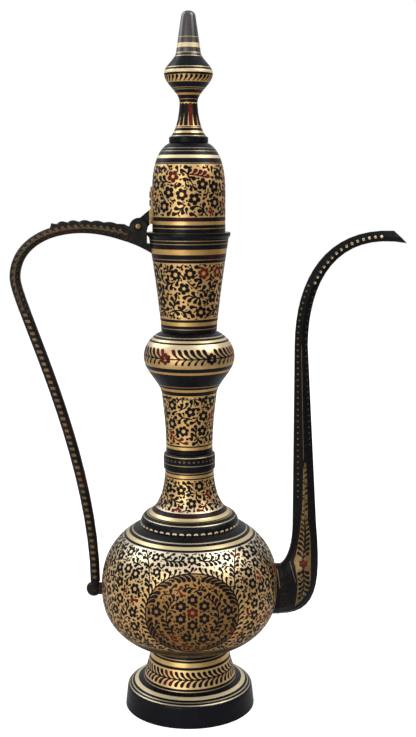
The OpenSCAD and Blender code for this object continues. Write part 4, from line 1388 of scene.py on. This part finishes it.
    def _above(self, angle: float) -> None:
        """Draws the flowers and the level vines between the ring and the top band."""
        ground, bloom = self.ground, KIT.flower(6, self.upper_scale * self.flower)
        for place in self.upper_flowers:
            ground.stamp(bloom, *self._spot(angle, *place), ink=Ink.BLACK)
        aside, level = self.level_foot
        for side, start, end in self.level_vines:
            path = [self._spot(angle, side * x, level + self.level_bend * (x - aside) ** 2)
                    for x in np.linspace(start, end, 16)]
            ground.stem(path)
            ground.leaves(path, self.comma, 3.2)

    def _patch(self, name: str, angle: float) -> None:
        """Lays the matted ground inside the ring of a medallion, its punching and roughness real, its browner
        darker colour painted shade.
        """
        rings, spokes = 26, 96
        reach = np.linspace(0.0, 1.0, rings + 1)[1:]
        turn = np.arange(spokes) * 2 * math.pi / spokes
        wide, high = self.medallion
        spots = [(r * wide * math.cos(t), r * high * math.sin(t)) for r in reach for t in turn]
        local = np.array([*spots, (0.0, 0.0)])
        angles, along = self.ground.moved(angle, self.centre - self.ring_drop, local)
        along = np.maximum(along, self.ground.low)
        faces = [face[::-1] for face in quads(rings, spokes, closed=True)]
        faces += [(k, (k + 1) % spokes, rings * spokes) for k in range(spokes)]
        points = self.skin.place(angles, along, np.full(len(local), -METAL_SUNK + self.patch_lift))
        piece = mesh_piece(name, points, faces, [FINISH.matted])
        pick(piece)
        bpy.ops.object.shade_smooth()
        settle(piece, "vessel")


@dataclass
class Frieze:
    """A running stem round a band, with leaves on both sides."""

    name: str
    skin: Skin
    low: float
    high: float
    stem: float
    leaf: tuple[float, float]
    pitch: float
    seed: int
    body: str = "vessel"
    slot: str = "engraved_brass"
    flowers: int = 0
    flower: float = 8.0
    scales: Point2 = (1.0, 1.0)
    spread: float = 0.3
    dots: int = 0
    red: int = 8

    def build(self) -> None:
        """Draws the flowers, the stem and its leaves."""
        ground = Inlay(self.name, self.skin, self.low, self.high, self.seed, self.red, 7.0)
        level = self.skin.at_height(self.stem)
        bloom = KIT.flower(6, self.flower)
        for k in range(self.flowers):
            ground.stamp(bloom, FRONT + (k + 0.5) * 2 * math.pi / self.flowers, level)
        leaf = KIT.leaf(*self.leaf, KIT.BEND)
        way = [(angle, level) for angle in np.linspace(FRONT + math.pi, FRONT - math.pi, 360)]
        ground.stem(way, 1.0, Ink.BLACK)
        for side, scale in zip((-1, 1), self.scales):
            ground.leaves(way, leaf, self.pitch, self.spread, [side], scale, paired=True)
        dot = KIT.petals(1, 0.17 * self.leaf[0], 0.0)
        ground.scatter(600, lambda angle, along: ground.stamp(dot, angle, along), self.dots)
        ground.build(self.body, self.slot)


@dataclass
class BeadRow:
    """A row of bright spots round a lacquered piece."""

    name: str
    skin: Skin
    height: float
    count: int
    size: Point2
    finish: Material
    room: float = 4.0

    def build(self) -> None:
        """Sets the spots in a ring."""
        ring = Inlay(self.name, self.skin, self.height - self.room, self.height + self.room, 1)
        spot, level = KIT.oval(*self.size), self.skin.at_height(self.height)
        for k in range(self.count):
            ring.stamp(spot, FRONT + 2 * math.pi * k / self.count, level, force=True)
        ring.build("vessel", "black_lacquer", 0.0, [self.finish])


@dataclass
class FinialEngraving:
    """Upright tongues on the stem of the finial and slanted leaves round its knop."""

    section: Section
    tongues: int = 14
    tongue_size: Point2 = (17.4, 3.7)
    leaves: int = 30
    leaf_size: Point2 = (6.0, 2.3)
    leaf_bend: float = 0.5
    leaf_turn: float = 0.78
    # Heights above the finial's foot: lower and upper edge of each ground, and the roots of its motifs
    tongue_heights: Point3 = (7.8, 25.9, 8.2)
    leaf_heights: Point3 = (41.0, 46.0, 41.4)

    def build(self) -> None:
        """Draws both."""
        skin, base = Skin(self.section), self.section.base
        low, high, root = (base + height for height in self.tongue_heights)
        stem = Inlay("finial_tongues", skin, low, high, 31)
        tongue = KIT.leaf(*self.tongue_size, 0.0, KIT.TONGUE_SHAPE, 4)
        for k in range(self.tongues):
            angle = FRONT + (k + 0.5) * 2 * math.pi / self.tongues
            stem.stamp(tongue, angle, skin.at_height(root), math.pi / 2, force=True,
                       ink=Ink.RED if k % 7 == 0 else Ink.BLACK)
        stem.build("lid", "black_lacquer")
        low, high, root = (base + height for height in self.leaf_heights)
        knop = Inlay("finial_leaves", skin, low, high, 32)
        leaf = KIT.leaf(*self.leaf_size, self.leaf_bend)
        for k in range(self.leaves):
            angle = FRONT + k * 2 * math.pi / self.leaves
            knop.stamp(leaf, angle, skin.at_height(root), self.leaf_turn, force=True,
                       ink=Ink.RED if k % 13 == 9 else Ink.BLACK)
        knop.build("lid", "black_lacquer")


def engrave(turned: dict[str, TurnedPiece]) -> None:
    """Engraves every bare ground of the turned pieces and sets the rows of bright spots."""
    part = {name: piece.section for name, piece in turned.items()}
    belly = Skin(part["belly_lower"], part["belly_upper"])
    BellyEngraving(belly, low=part["belly_lower"].base + 17.0, high=part["belly_upper"].base + 44.4,
                   middle=103.8).build()
    # Name, nodes, body, lower and upper edge above the first node's foot, filling and seed of each ground
    grounds = [
        ("cup_engraving", ["cup"], "vessel", 16.6, 60.6, Field(10.0, 11.2, 25, 6.4, 220, 40000), 11),
        ("lid_engraving", ["lid_dome"], "lid", 12.2, 52.2, Field(10.0, 11.3, 24, 6.5, 220, 40000), 12),
        ("upper_neck_engraving", ["upper_neck", "neck_bulb"], "vessel", 15.2, 55.8,
         Field(9.3, 10.4, 17, 5.9, 160, 30000), 13),
        ("lower_neck_engraving", ["lower_neck"], "vessel", 11.0, 36.3,
         Field(9.0, 10.2, 14, 5.8, 160, 30000), 14)]
    for name, nodes, body, low, high, plan, seed in grounds:
        base = part[nodes[0]].base
        skin = Skin(*(part[node] for node in nodes), tenon=5.0)
        ground = Inlay(name, skin, base + low, base + high, seed)
        plan.fill(ground)
        ground.build(body, "engraved_brass")
    bulb, foot, collar, ring = (part[name] for name in ("neck_bulb", "foot", "shoulder_collar", "neck_ring"))
    Frieze("bulb_frieze", Skin(bulb), low=bulb.base + 31.9, high=bulb.base + 50.1, stem=bulb.base + 39.5,
           leaf=(10.8, 3.3), pitch=5.1, seed=21, flowers=6, flower=9.8, scales=(1.0, 0.62)).build()
    Frieze("foot_frieze", Skin(foot), low=26.3, high=40.2, stem=33.2, leaf=(8.8, 2.9), pitch=4.8, seed=22,
           slot="black_lacquer", spread=0.24, dots=30).build()
    FinialEngraving(part["finial"]).build()
    BeadRow("collar_spots", Skin(collar), collar.base + 6.5, 44, (3.8, 2.0), FINISH.leaf).build()
    BeadRow("ring_spots", Skin(ring), ring.base + 9.0, 34, (2.1, 1.9), FINISH.aged).build()


class SideFace(Ornament):
    """Ornament on the flank of a limb, given as flat points [x, z] in millimetres seen along Y."""

    # Distance aside from which rays look for the flank, and near which it is sought when they miss it
    RAY_START = 200.0
    MISS_START = 4.0
    # Heights above the flank of flat gold, of raised motifs and of their roots
    FLAT = 0.05
    PROUD = 0.07
    ROOT = -0.15
    SHARP = math.radians(35)

    def __init__(self, name: str, node: str, side: int) -> None:
        """Starts an empty flank.

        Args:
            name: name of the finished piece.
            node: the CAD node that carries it.
            side: -1 for the flank that faces the camera, 1 for the other one.
        """
        super().__init__(name)
        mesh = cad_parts[node].data
        corners = [corner.co for corner in mesh.vertices]
        self.tree = BVHTree.FromPolygons(corners, [tuple(face.vertices) for face in mesh.polygons])
        self.side = side

    def place(self, flat: np.ndarray, lift: np.ndarray) -> np.ndarray:
        """Returns flat points dropped on the flank and lifted off it."""
        found = []
        for (x, z), up in zip(flat, lift):
            start = Vector((x * MM, self.RAY_START * MM * self.side, z * MM))
            spot, normal, _, _ = self.tree.ray_cast(start, Vector((0, -self.side, 0)))
            if spot is None:
                start.y = self.MISS_START * MM * self.side
                spot, normal, _, _ = self.tree.find_nearest(start)
            found.append(np.array(spot + normal * up * MM) / MM)
        return np.array(found)

    def add(self, flat: np.ndarray, lift: np.ndarray, faces: Iterable[Face], slot: int) -> None:
        """Adds faces between flat points."""
        turned = faces if self.side < 0 else [face[::-1] for face in faces]
        self.keep(self.place(flat, lift), turned, slot)

    def stamp(self, motif: Template, x: float, z: float, turn: float = 0.0, scale: float = 1.0,
              mirror: bool = False, proud: float = PROUD, slot: int = 0) -> None:
        """Sets a motif on the flank."""
        flat = Inlay.swung(motif.corners, turn, scale, mirror) + (x, z)
        faces = [face[::-1] for face in motif.faces] if mirror else motif.faces
        self.add(flat, np.where(motif.corners[:, 2] < HALF_LEVEL, self.ROOT, proud), faces, slot)

    def panel(self, rows: Sequence[Point3], slot: int, columns: int = 1, lift: float = FLAT) -> None:
        """Lays a patch between a left and a right edge, given as rows of [z, left x, right x]."""
        wide = columns + 1
        flat = np.array([(left + (right - left) * k / columns, z)
                         for z, left, right in rows for k in range(wide)])
        self.add(flat, np.full(len(flat), lift), quads(len(rows), wide), slot)

    def build(self, body: str, slot: str, materials: Sequence[Material]) -> None:
        """Makes the piece."""
        self.make(np.vstack(self.points), body, slot, materials)


def cubic(a: Point2, p: Point2, q: Point2, b: Point2, t: float) -> np.ndarray:
    """Returns the point at share t of a cubic curve from a to b with controls p and q."""
    a, p, q, b = (np.array(c, float) for c in (a, p, q, b))
    return (1 - t) ** 3 * a + 3 * (1 - t) ** 2 * t * p + 3 * (1 - t) * t**2 * q + t**3 * b


def paced(way: Sequence[np.ndarray], pitch: float, start: float) -> list[Point3]:
    """Returns [x, z, heading] at an even pitch along a way, from a start on."""
    points = np.array(way)
    run = run_of(points)
    places = []
    for here in np.arange(start, run[-1], pitch):
        (x, z), ahead = ([float(np.interp(s, run, c)) for c in points.T] for s in (here, here + 0.5))
        places.append((x, z, math.atan2(ahead[1] - z, ahead[0] - x)))
    return places


@dataclass
class SpoutDress:
    """Lacquer, rows of spots and the gold leaf panel of the swan-neck spout."""

    riser: Point2 = (84.5, 154.05)
    riser_height: float = 147.4
    riser_widths: Point2 = (19.1, 10.4)
    crook: Point2 = (77.3, 90.7)
    beak_cut: Point2 = (10.4, -9.8)
    spot_pitch: float = 4.8
    # Place [x, z] and heights of the flange's seam, and of the thin line beside the leaf panel
    seam: Point2 = (74.2, 96.0)
    seam_heights: Point2 = (86.0, 117.0)
    side_line: Point2 = (82.1, 122.4)
    side_line_heights: Point2 = (107.0, 123.0)
    # Place of the flower, heights of the vein, and [first, end, pitch] of the heights of leaves and slashes
    flower: Point2 = (93.0, 121.9)
    vein: Point2 = (90.0, 162.0)
    upper_leaves: Point3 = (126.5, 160.0, 4.3)
    lower_leaves: Point3 = (117.5, 92.0, -4.3)
    slashes: Point3 = (162.5, 203.0, 4.4)
    # Heights of vein, leaves and flower above the lacquer
    vein_lift: float = 0.11
    leaf_lift: float = 0.12
    flower_lift: float = 0.13
    # Rows [z, left x, right x] of the leaf panel, from its foot to its tip
    panel_edges: Sequence[Point3] = (
        (85.6, 86.3, 86.6), (90.4, 87.0, 91.8), (95.9, 87.8, 96.6), (101.9, 88.1, 98.5),
        (107.9, 88.3, 99.3), (119.0, 86.5, 99.3), (123.6, 85.4, 99.2), (128.3, 86.9, 99.2),
        (136.0, 88.4, 98.9), (146.1, 89.8, 98.4), (158.7, 90.9, 96.2), (167.4, 91.6, 96.2),
        (184.0, 91.9, 95.5), (200.4, 92.1, 95.1), (206.0, 93.2, 94.0))

    def guide(self, stage: int, t: float, share: float) -> np.ndarray:
        """Returns the point at a share of the width from the back edge, on the riser (1) or the crook (2)."""
        low, high = np.array(self.riser), np.array(self.riser) + (0, self.riser_height)
        beak = high + self.crook
        tip = beak + self.beak_cut
        reach, rise = self.crook
        wide = (np.array([w, 0.0]) for w in self.riser_widths)
        foot, head = (edge + w for edge, w in zip((low, high), wide))
        if stage == 1:
            back, front = low + (high - low) * t, foot + (head - foot) * t
        else:
            back = cubic(high, high + (0, 0.58 * rise), beak + (-0.7 * reach, 0.03 * rise), beak, t)
            front = cubic(head, head + (0, 0.57 * rise), tip + (-0.72 * reach, -self.beak_cut[1]), tip, t)
        return back + (front - back) * share

    def build(self) -> None:
        """Dresses the spout and its flange."""
        dress({"spout": FINISH.spout, "spout_flange": FINISH.coats[Coat.LACQUER]})
        for side, word in ((-1, "near"), (1, "far")):
            self._spots(SideFace(f"spout_spots_{word}", "spout", side))
            self._leaf(SideFace(f"spout_leaf_{word}", "spout", side))
            self._seam(SideFace(f"spout_seam_{word}", "spout_flange", side))

    def _seam(self, face: SideFace) -> None:
        """Draws the curved seam of the flange."""
        x, middle = self.seam
        away = np.linspace(*self.seam_heights, 30) - middle
        left = x - 0.0025 * away**2 - 0.08 * away
        face.panel(list(zip(middle + away, left, left + 0.45)), 0)
        face.build("vessel", "black_lacquer", [FINISH.panel])

    def _row(self, face: SideFace, way: Sequence[np.ndarray], spot: Template, slot: int) -> None:
        """Sets spots at an even pitch along a way."""
        for x, z, _ in paced(way, self.spot_pitch, 0.0):
            face.stamp(spot, x, z, slot=slot)

    def _spots(self, face: SideFace) -> None:
        """Sets one row along the crook, two rows down the riser and a thin line on its ridge."""
        steps = np.linspace(0, 1, 40)
        bright = [self.guide(2, t, 0.62 - 0.12 * t) for t in 0.36 + 0.56 * steps]
        self._row(face, bright, KIT.petals(1, 1.15, 0.0), 0)
        small = KIT.petals(1, 0.78, 0.0)
        for share, lowest in ((0.21, 0.157), (0.84, 0.45)):
            way = [self.guide(1, t, share) for t in lowest + (1 - lowest) * steps]
            way += [self.guide(2, t, share) for t in 0.34 * steps[1:]]
            self._row(face, way, small, 1)
        ridge = [self.guide(1, t, 0.49) for t in np.linspace(0.37, 1.0, 60)]
        face.panel([(z, x - 0.22, x + 0.22) for x, z in ridge], 1)
        face.build("vessel", "black_lacquer", [FINISH.leaf, FINISH.aged])

    def _leaf(self, face: SideFace) -> None:
        """Lays the gold leaf panel and draws its vine, with a flower where the spout bends."""
        edges = np.array(self.panel_edges)
        heights = np.linspace(edges[0, 0], edges[-1, 0], 90)
        left, right = (np.interp(heights, edges[:, 0], edges[:, k]) for k in (1, 2))
        face.panel(list(zip(heights, left, right)), 0, 8)
        middle = (left + right) / 2
        low, high = self.vein
        vein = [(z, x - 0.4, x + 0.4) for z, x in zip(heights, middle) if low < z < high]
        face.panel(vein, 1, lift=self.vein_lift)
        leaf = KIT.leaf(6.6, 2.9, 0.7)
        ways = [(z, math.pi / 2) for z in np.arange(*self.upper_leaves)]
        ways += [(z, -math.pi / 2) for z in np.arange(*self.lower_leaves)]
        for z, heading in ways:
            a, b = (float(np.interp(z, heights, edge)) for edge in (left, right))
            scale = min(1.0, (b - a) / 11.5)
            for side in (-1, 1):
                face.stamp(leaf, (a + b) / 2, z, heading + 0.5 * side, scale, side < 0, self.leaf_lift, 1)
        slash = KIT.leaf(4.6, 1.9, 0.5)
        for k, z in enumerate(np.arange(*self.slashes)):
            flip = 1 if k % 3 else -1
            x = float(np.interp(z, heights, middle)) - 1.7 * flip
            face.stamp(slash, x, z - 1.3, math.pi / 2 - 0.8 * flip, 1.0, flip > 0, self.leaf_lift, 1)
        face.stamp(KIT.flower(6, 7.6), *self.flower, proud=self.flower_lift, slot=2)
        x, foot = self.side_line
        heights = np.linspace(*self.side_line_heights, 20)
        left = x - 0.3 * (heights - foot)
        face.panel(list(zip(heights, left, left + 0.3)), 0)
        face.build("vessel", "black_lacquer", [FINISH.panel, *FINISH.inks.values()])


@dataclass
class HandleDress:
    """Dark cast finish of the handle, its row of worn gold bars and the scroll along its arch."""

    butt: Point2 = (-47.0, 389.3)
    bow: Point2 = (-138.0, 354.6)
    drop_end: Point2 = (-77.94, 103.09)
    arch_controls: tuple[Point2, Point2] = ((-101.6, 403.9), (-138.0, 385.2))
    fall_controls: tuple[Point2, Point2] = ((-138.0, 334.5), (-77.94, 215.0))
    # Pitch, shift and half sizes of the bars, and pitch of the scroll's leaves
    bar_pitch: float = 5.2
    aside: float = 0.1
    bar: Point2 = (1.8, 1.15)
    leaf_pitch: float = 2.5

    def build(self) -> None:
        """Dresses the handle, its pad and the hinge."""
        dress({"handle": FINISH.cast, "handle_pad": FINISH.cast, "hinge_bracket": FINISH.bracket,
               "hinge_strap": FINISH.strap, "hinge_pin": FINISH.pin, "strap_rivets": FINISH.bracket})
        leaf = KIT.leaf(5.4, 2.6, 1.1)
        for side, word in ((-1, "near"), (1, "far")):
            face = SideFace(f"handle_squares_{word}", "handle", side)
            fall = self._fall(0.22, 0.985, 80)
            for k, (x, z, turn) in enumerate(paced(fall, self.bar_pitch, self.bar_pitch / 2)):
                self._bar(face, x, z, turn, k)
            arch = [cubic(self.butt, *self.arch_controls, self.bow, t) for t in np.linspace(0.0, 0.95, 60)]
            arch += self._fall(0.0, 0.2, 20)
            for k, (x, z, turn) in enumerate(paced(arch, self.leaf_pitch, self.leaf_pitch / 2)):
                face.stamp(leaf, x, z, turn, mirror=bool(k % 2), slot=1)
            face.build("vessel", "dark_lacquer", [FINISH.aged, FINISH.scroll])

    def _fall(self, start: float, end: float, count: int) -> list[np.ndarray]:
        """Returns points on the falling limb between two shares of its length."""
        steps = np.linspace(start, end, count)
        return [cubic(self.bow, *self.fall_controls, self.drop_end, t) for t in steps]

    def _bar(self, face: SideFace, x: float, z: float, turn: float, number: int) -> None:
        """Lays one worn bar across the face, a little wider or narrower than the last."""
        wide, high = self.bar
        wide *= 1.0 + 0.12 * math.sin(2.3 * number)
        rows = [(z + h, x - self.aside + h / math.tan(turn)) for h in np.linspace(-high, high, 4)]
        face.panel([(h, middle - wide, middle + wide) for h, middle in rows], 0, 6)


@dataclass(frozen=True)
class Lamp:
    """A rectangular lamp that faces the middle of the object, with its place and size in metres."""

    name: str
    place: Point3
    size: Point2
    power: float
    colour: Colour

    def build(self) -> None:
        """Adds the lamp."""
        data = bpy.data.lights.new(self.name, "AREA")
        data.shape = "RECTANGLE"
        data.size, data.size_y = self.size
        data.energy = self.power
        data.color = self.colour
        lamp = bpy.data.objects.new(self.name, data)
        lamp.location = self.place
        lamp.rotation_euler = (Vector((0, 0, 0.28)) - Vector(self.place)).to_track_quat("-Z", "Y").to_euler()
        bpy.context.scene.collection.objects.link(lamp)


class Stage:
    """Pale floor, soft light and the photograph's camera."""

    FLOOR_SIZE = 6.0
    # Share of white that the floor adds in the camera's eye
    GLOW = 0.78
    PALE = (0.56, 0.55, 0.54, 1)
    DARK = (0.06, 0.05, 0.045, 1)
    WHITE = (1, 1, 1, 1)
    DARK_WAY = (0.93, -0.37, 0.0)
    LAMPS = (Lamp("overhead", (0.95, -0.35, 1.45), (1.0, 1.0), 11.5, (1.0, 1.0, 1.0)),
             Lamp("front", (-0.6, -1.2, 0.5), (0.8, 1.0), 6.2, (1.0, 0.99, 0.97)),
             Lamp("sky", (-1.0, 0.3, 1.2), (0.9, 0.9), 7.0, (0.84, 0.92, 1.0)),
             Lamp("strip", (1.05, -0.63, 0.74), (0.16, 0.34), 0.8, (1.0, 0.97, 0.92)))

    def build(self) -> None:
        """Makes the floor, the world, the lamps and the camera."""
        self._floor()
        self._world()
        for lamp in self.LAMPS:
            lamp.build()
        self._camera()

    def _floor(self) -> None:
        """A pale floor that shows white to the camera and keeps the shadow."""
        deselect_all()
        bpy.ops.mesh.primitive_plane_add(size=self.FLOOR_SIZE, location=(0, 0, 0))
        floor = bpy.context.object
        floor.name = "pale_floor"
        material, desk, shader = new_material("pale_floor")
        shader.inputs["Roughness"].default_value = 0.9
        seen = desk.add("ShaderNodeLightPath").outputs["Is Camera Ray"]
        place = desk.add("ShaderNodeTexCoord").outputs["Object"]
        away = desk.add("ShaderNodeVectorMath", {0: place}, operation="LENGTH").outputs["Value"]
        heading = desk.add("ShaderNodeVectorMath", {0: place}, operation="NORMALIZE").outputs[0]
        dark = desk.combined(self._dark_side(desk, heading), desk.ranged(away, 0.3, 0.8), "MULTIPLY")
        unseen = desk.mixed(dark, self.PALE, self.DARK)
        desk.feed(shader.inputs["Base Color"], desk.mixed(seen, unseen, self.PALE))
        strength = desk.combined(seen, self.GLOW, "MULTIPLY")
        glow = desk.add("ShaderNodeEmission", {"Color": self.WHITE, "Strength": strength})
        both = desk.add("ShaderNodeAddShader", {0: shader.outputs[0], 1: glow.outputs[0]})
        desk.feed(material.node_tree.nodes["Material Output"].inputs["Surface"], both.outputs[0])
        floor.data.materials.append(material)

    def _dark_side(self, desk: Desk, heading: NodeSocket) -> NodeSocket:
        """Returns a mask of the unlit side of the room, for a unit vector away from the object."""
        aside = desk.add("ShaderNodeVectorMath", {0: heading, 1: self.DARK_WAY}, operation="DOT_PRODUCT")
        return desk.ranged(aside.outputs["Value"], 0.72, 0.92)

    def _world(self) -> None:
        """White behind the object, softer and darker on one side as a light."""
        world = bpy.data.worlds.new("studio")
        world.use_nodes = True
        bpy.context.scene.world = world
        desk = Desk(world.node_tree)
        path = desk.add("ShaderNodeLightPath")
        shown = desk.combined(path.outputs["Is Camera Ray"], path.outputs["Is Transmission Ray"], "MAXIMUM")
        heading = desk.add("ShaderNodeTexCoord").outputs["Generated"]
        way = desk.add("ShaderNodeSeparateXYZ", {0: heading}).outputs[2]
        soft = desk.mixed(desk.ranged(way, -0.3, 0.6), (0.24, 0.22, 0.2, 1), (0.74, 0.755, 0.79, 1))
        soft = desk.mixed(self._dark_side(desk, heading), soft, self.DARK)
        back = world.node_tree.nodes["Background"]
        desk.feed(back.inputs["Color"], desk.mixed(shown, soft, self.WHITE))
        back.inputs["Strength"].default_value = 1.0

    @staticmethod
    def _camera() -> None:
        """Adds the camera that fits the photograph."""
        data = bpy.data.cameras.new("photo_camera")
        data.sensor_fit = "VERTICAL"
        data.sensor_height = 36.0
        data.lens = data.sensor_height * FOCAL_PIXELS / PHOTO_SIZE[1]
        data.clip_start = 0.01
        camera = bpy.data.objects.new("photo_camera", data)
        camera.location = [c * MM for c in CAMERA_MM]
        camera.rotation_euler = (math.pi / 2 - CAMERA_PITCH, 0, 0)
        bpy.context.scene.collection.objects.link(camera)
        bpy.context.scene.camera = camera


def turned_pieces() -> dict[str, TurnedPiece]:
    """Returns the turned pieces with their bands, by node."""
    vessel, lid = "vessel", "lid"
    pieces = [
        TurnedPiece("foot", vessel, "black_lacquer", Coat.LACQUER, [
            line(17.9), line(19.4, 0.5), Stripe(20.6, 22.0, Coat.WORN), line(24.0),
            Stripe(26.1, 40.4, Coat.GROUND), Stripe(42.5, 45.9, Coat.GOLD), line(47.9)]),
        TurnedPiece("belly_lower", vessel, "engraved_brass", Coat.GROUND, [
            # Between the lines at 9.7 and 15.7 the gold is painted dark as shade on the belly's underside
            Stripe(-1, 9.4, Coat.LACQUER), line(9.7), Stripe(10.0, 15.4, Coat.UMBER), line(15.7),
            Stripe(16.0, 16.8, Coat.LACQUER)], steps=160),
        TurnedPiece("belly_upper", vessel, "engraved_brass", Coat.GROUND, [
            Stripe(44.6, 45.9, Coat.LACQUER), Stripe(45.9, 47.9, Coat.GOLD), Stripe(47.9, 49.3, Coat.LACQUER),
            line(49.6), Stripe(49.9, 60, Coat.LACQUER)], steps=160),
        TurnedPiece("shoulder_collar", vessel, "black_lacquer", Coat.LACQUER, [line(12.4)]),
        TurnedPiece("lower_neck", vessel, "engraved_brass", Coat.LACQUER, [
            Stripe(5.6, 7.7, Coat.GOLD), Stripe(7.7, 10.8, Coat.MAROON), Stripe(10.8, 36.5, Coat.GROUND),
            Stripe(37.5, 39.9, Coat.GOLD), line(41.4)]),
        TurnedPiece("neck_ring", vessel, "black_lacquer", Coat.LACQUER, [line(5.6), line(12.2)]),
        TurnedPiece("upper_neck", vessel, "engraved_brass", Coat.LACQUER, [
            Stripe(11.5, 13.9, Coat.GOLD), Stripe(15.0, 60, Coat.GROUND)]),
        TurnedPiece("neck_bulb", vessel, "engraved_brass", Coat.LACQUER, [
            Stripe(5.0, 8.3, Coat.GROUND), Stripe(11.3, 13.6, Coat.GOLD), line(15.7),
            Stripe(26.5, 28.6, Coat.GOLD), Stripe(31.7, 50.3, Coat.CREAM), Stripe(51.5, 53.1, Coat.GOLD),
            line(54.7)]),
        TurnedPiece("cup", vessel, "engraved_brass", Coat.LACQUER, [
            line(8.7), Stripe(11.4, 14.4, Coat.GOLD), Stripe(16.4, 60.9, Coat.GROUND), line(63.5),
            Stripe(63.8, 67.3, Coat.MAROON), Stripe(67.3, 71.4, Coat.GOLD), line(75.4), line(78.0)]),
        TurnedPiece("lid_dome", lid, "engraved_brass", Coat.LACQUER, [
            line(3.4), Stripe(6.1, 8.9, Coat.GOLD), Stripe(9.2, 11.8, Coat.MAROON),
            Stripe(12.0, 52.4, Coat.GROUND), line(53.2, 0.3), Stripe(57.0, 59.4, Coat.WORN),
            line(62.4, 0.3), line(64.7, 0.3)]),
        TurnedPiece("finial_collar", lid, "black_lacquer", Coat.LACQUER),
        TurnedPiece("finial", lid, "black_lacquer", Coat.LACQUER, [
            line(0.4), Stripe(2.6, 4.3, Coat.GOLD), line(6.7), Stripe(7.6, 26.0, Coat.GROUND), line(28.4),
            Stripe(31.3, 33.0, Coat.GOLD), line(35.6), line(36.9), Stripe(40.8, 46.2, Coat.GROUND),
            Stripe(47.9, 50.2, Coat.WORN), line(52.1), line(60.7), line(63.3), Stripe(67.1, 70.5, Coat.WORN),
            # From 62 mm up the finial takes the painted sheen
            line(75.0), Stripe(62, 100, Coat.SHEEN)], steps=96)]
    return {piece.node: piece for piece in pieces}


def main() -> None:
    """Builds every sub-assembly in order, then the stage."""
    logging.basicConfig(level=logging.INFO, format="%(message)s")
    bpy.context.scene.view_settings.view_transform = "Standard"
    turned = turned_pieces()
    for piece in turned.values():
        piece.build()
    engrave(turned)
    SpoutDress().build()
    HandleDress().build()
    dress({name: FINISH.plain for name in PLAIN_NODES})
    Stage().build()


if __name__ == "__main__":
    main()
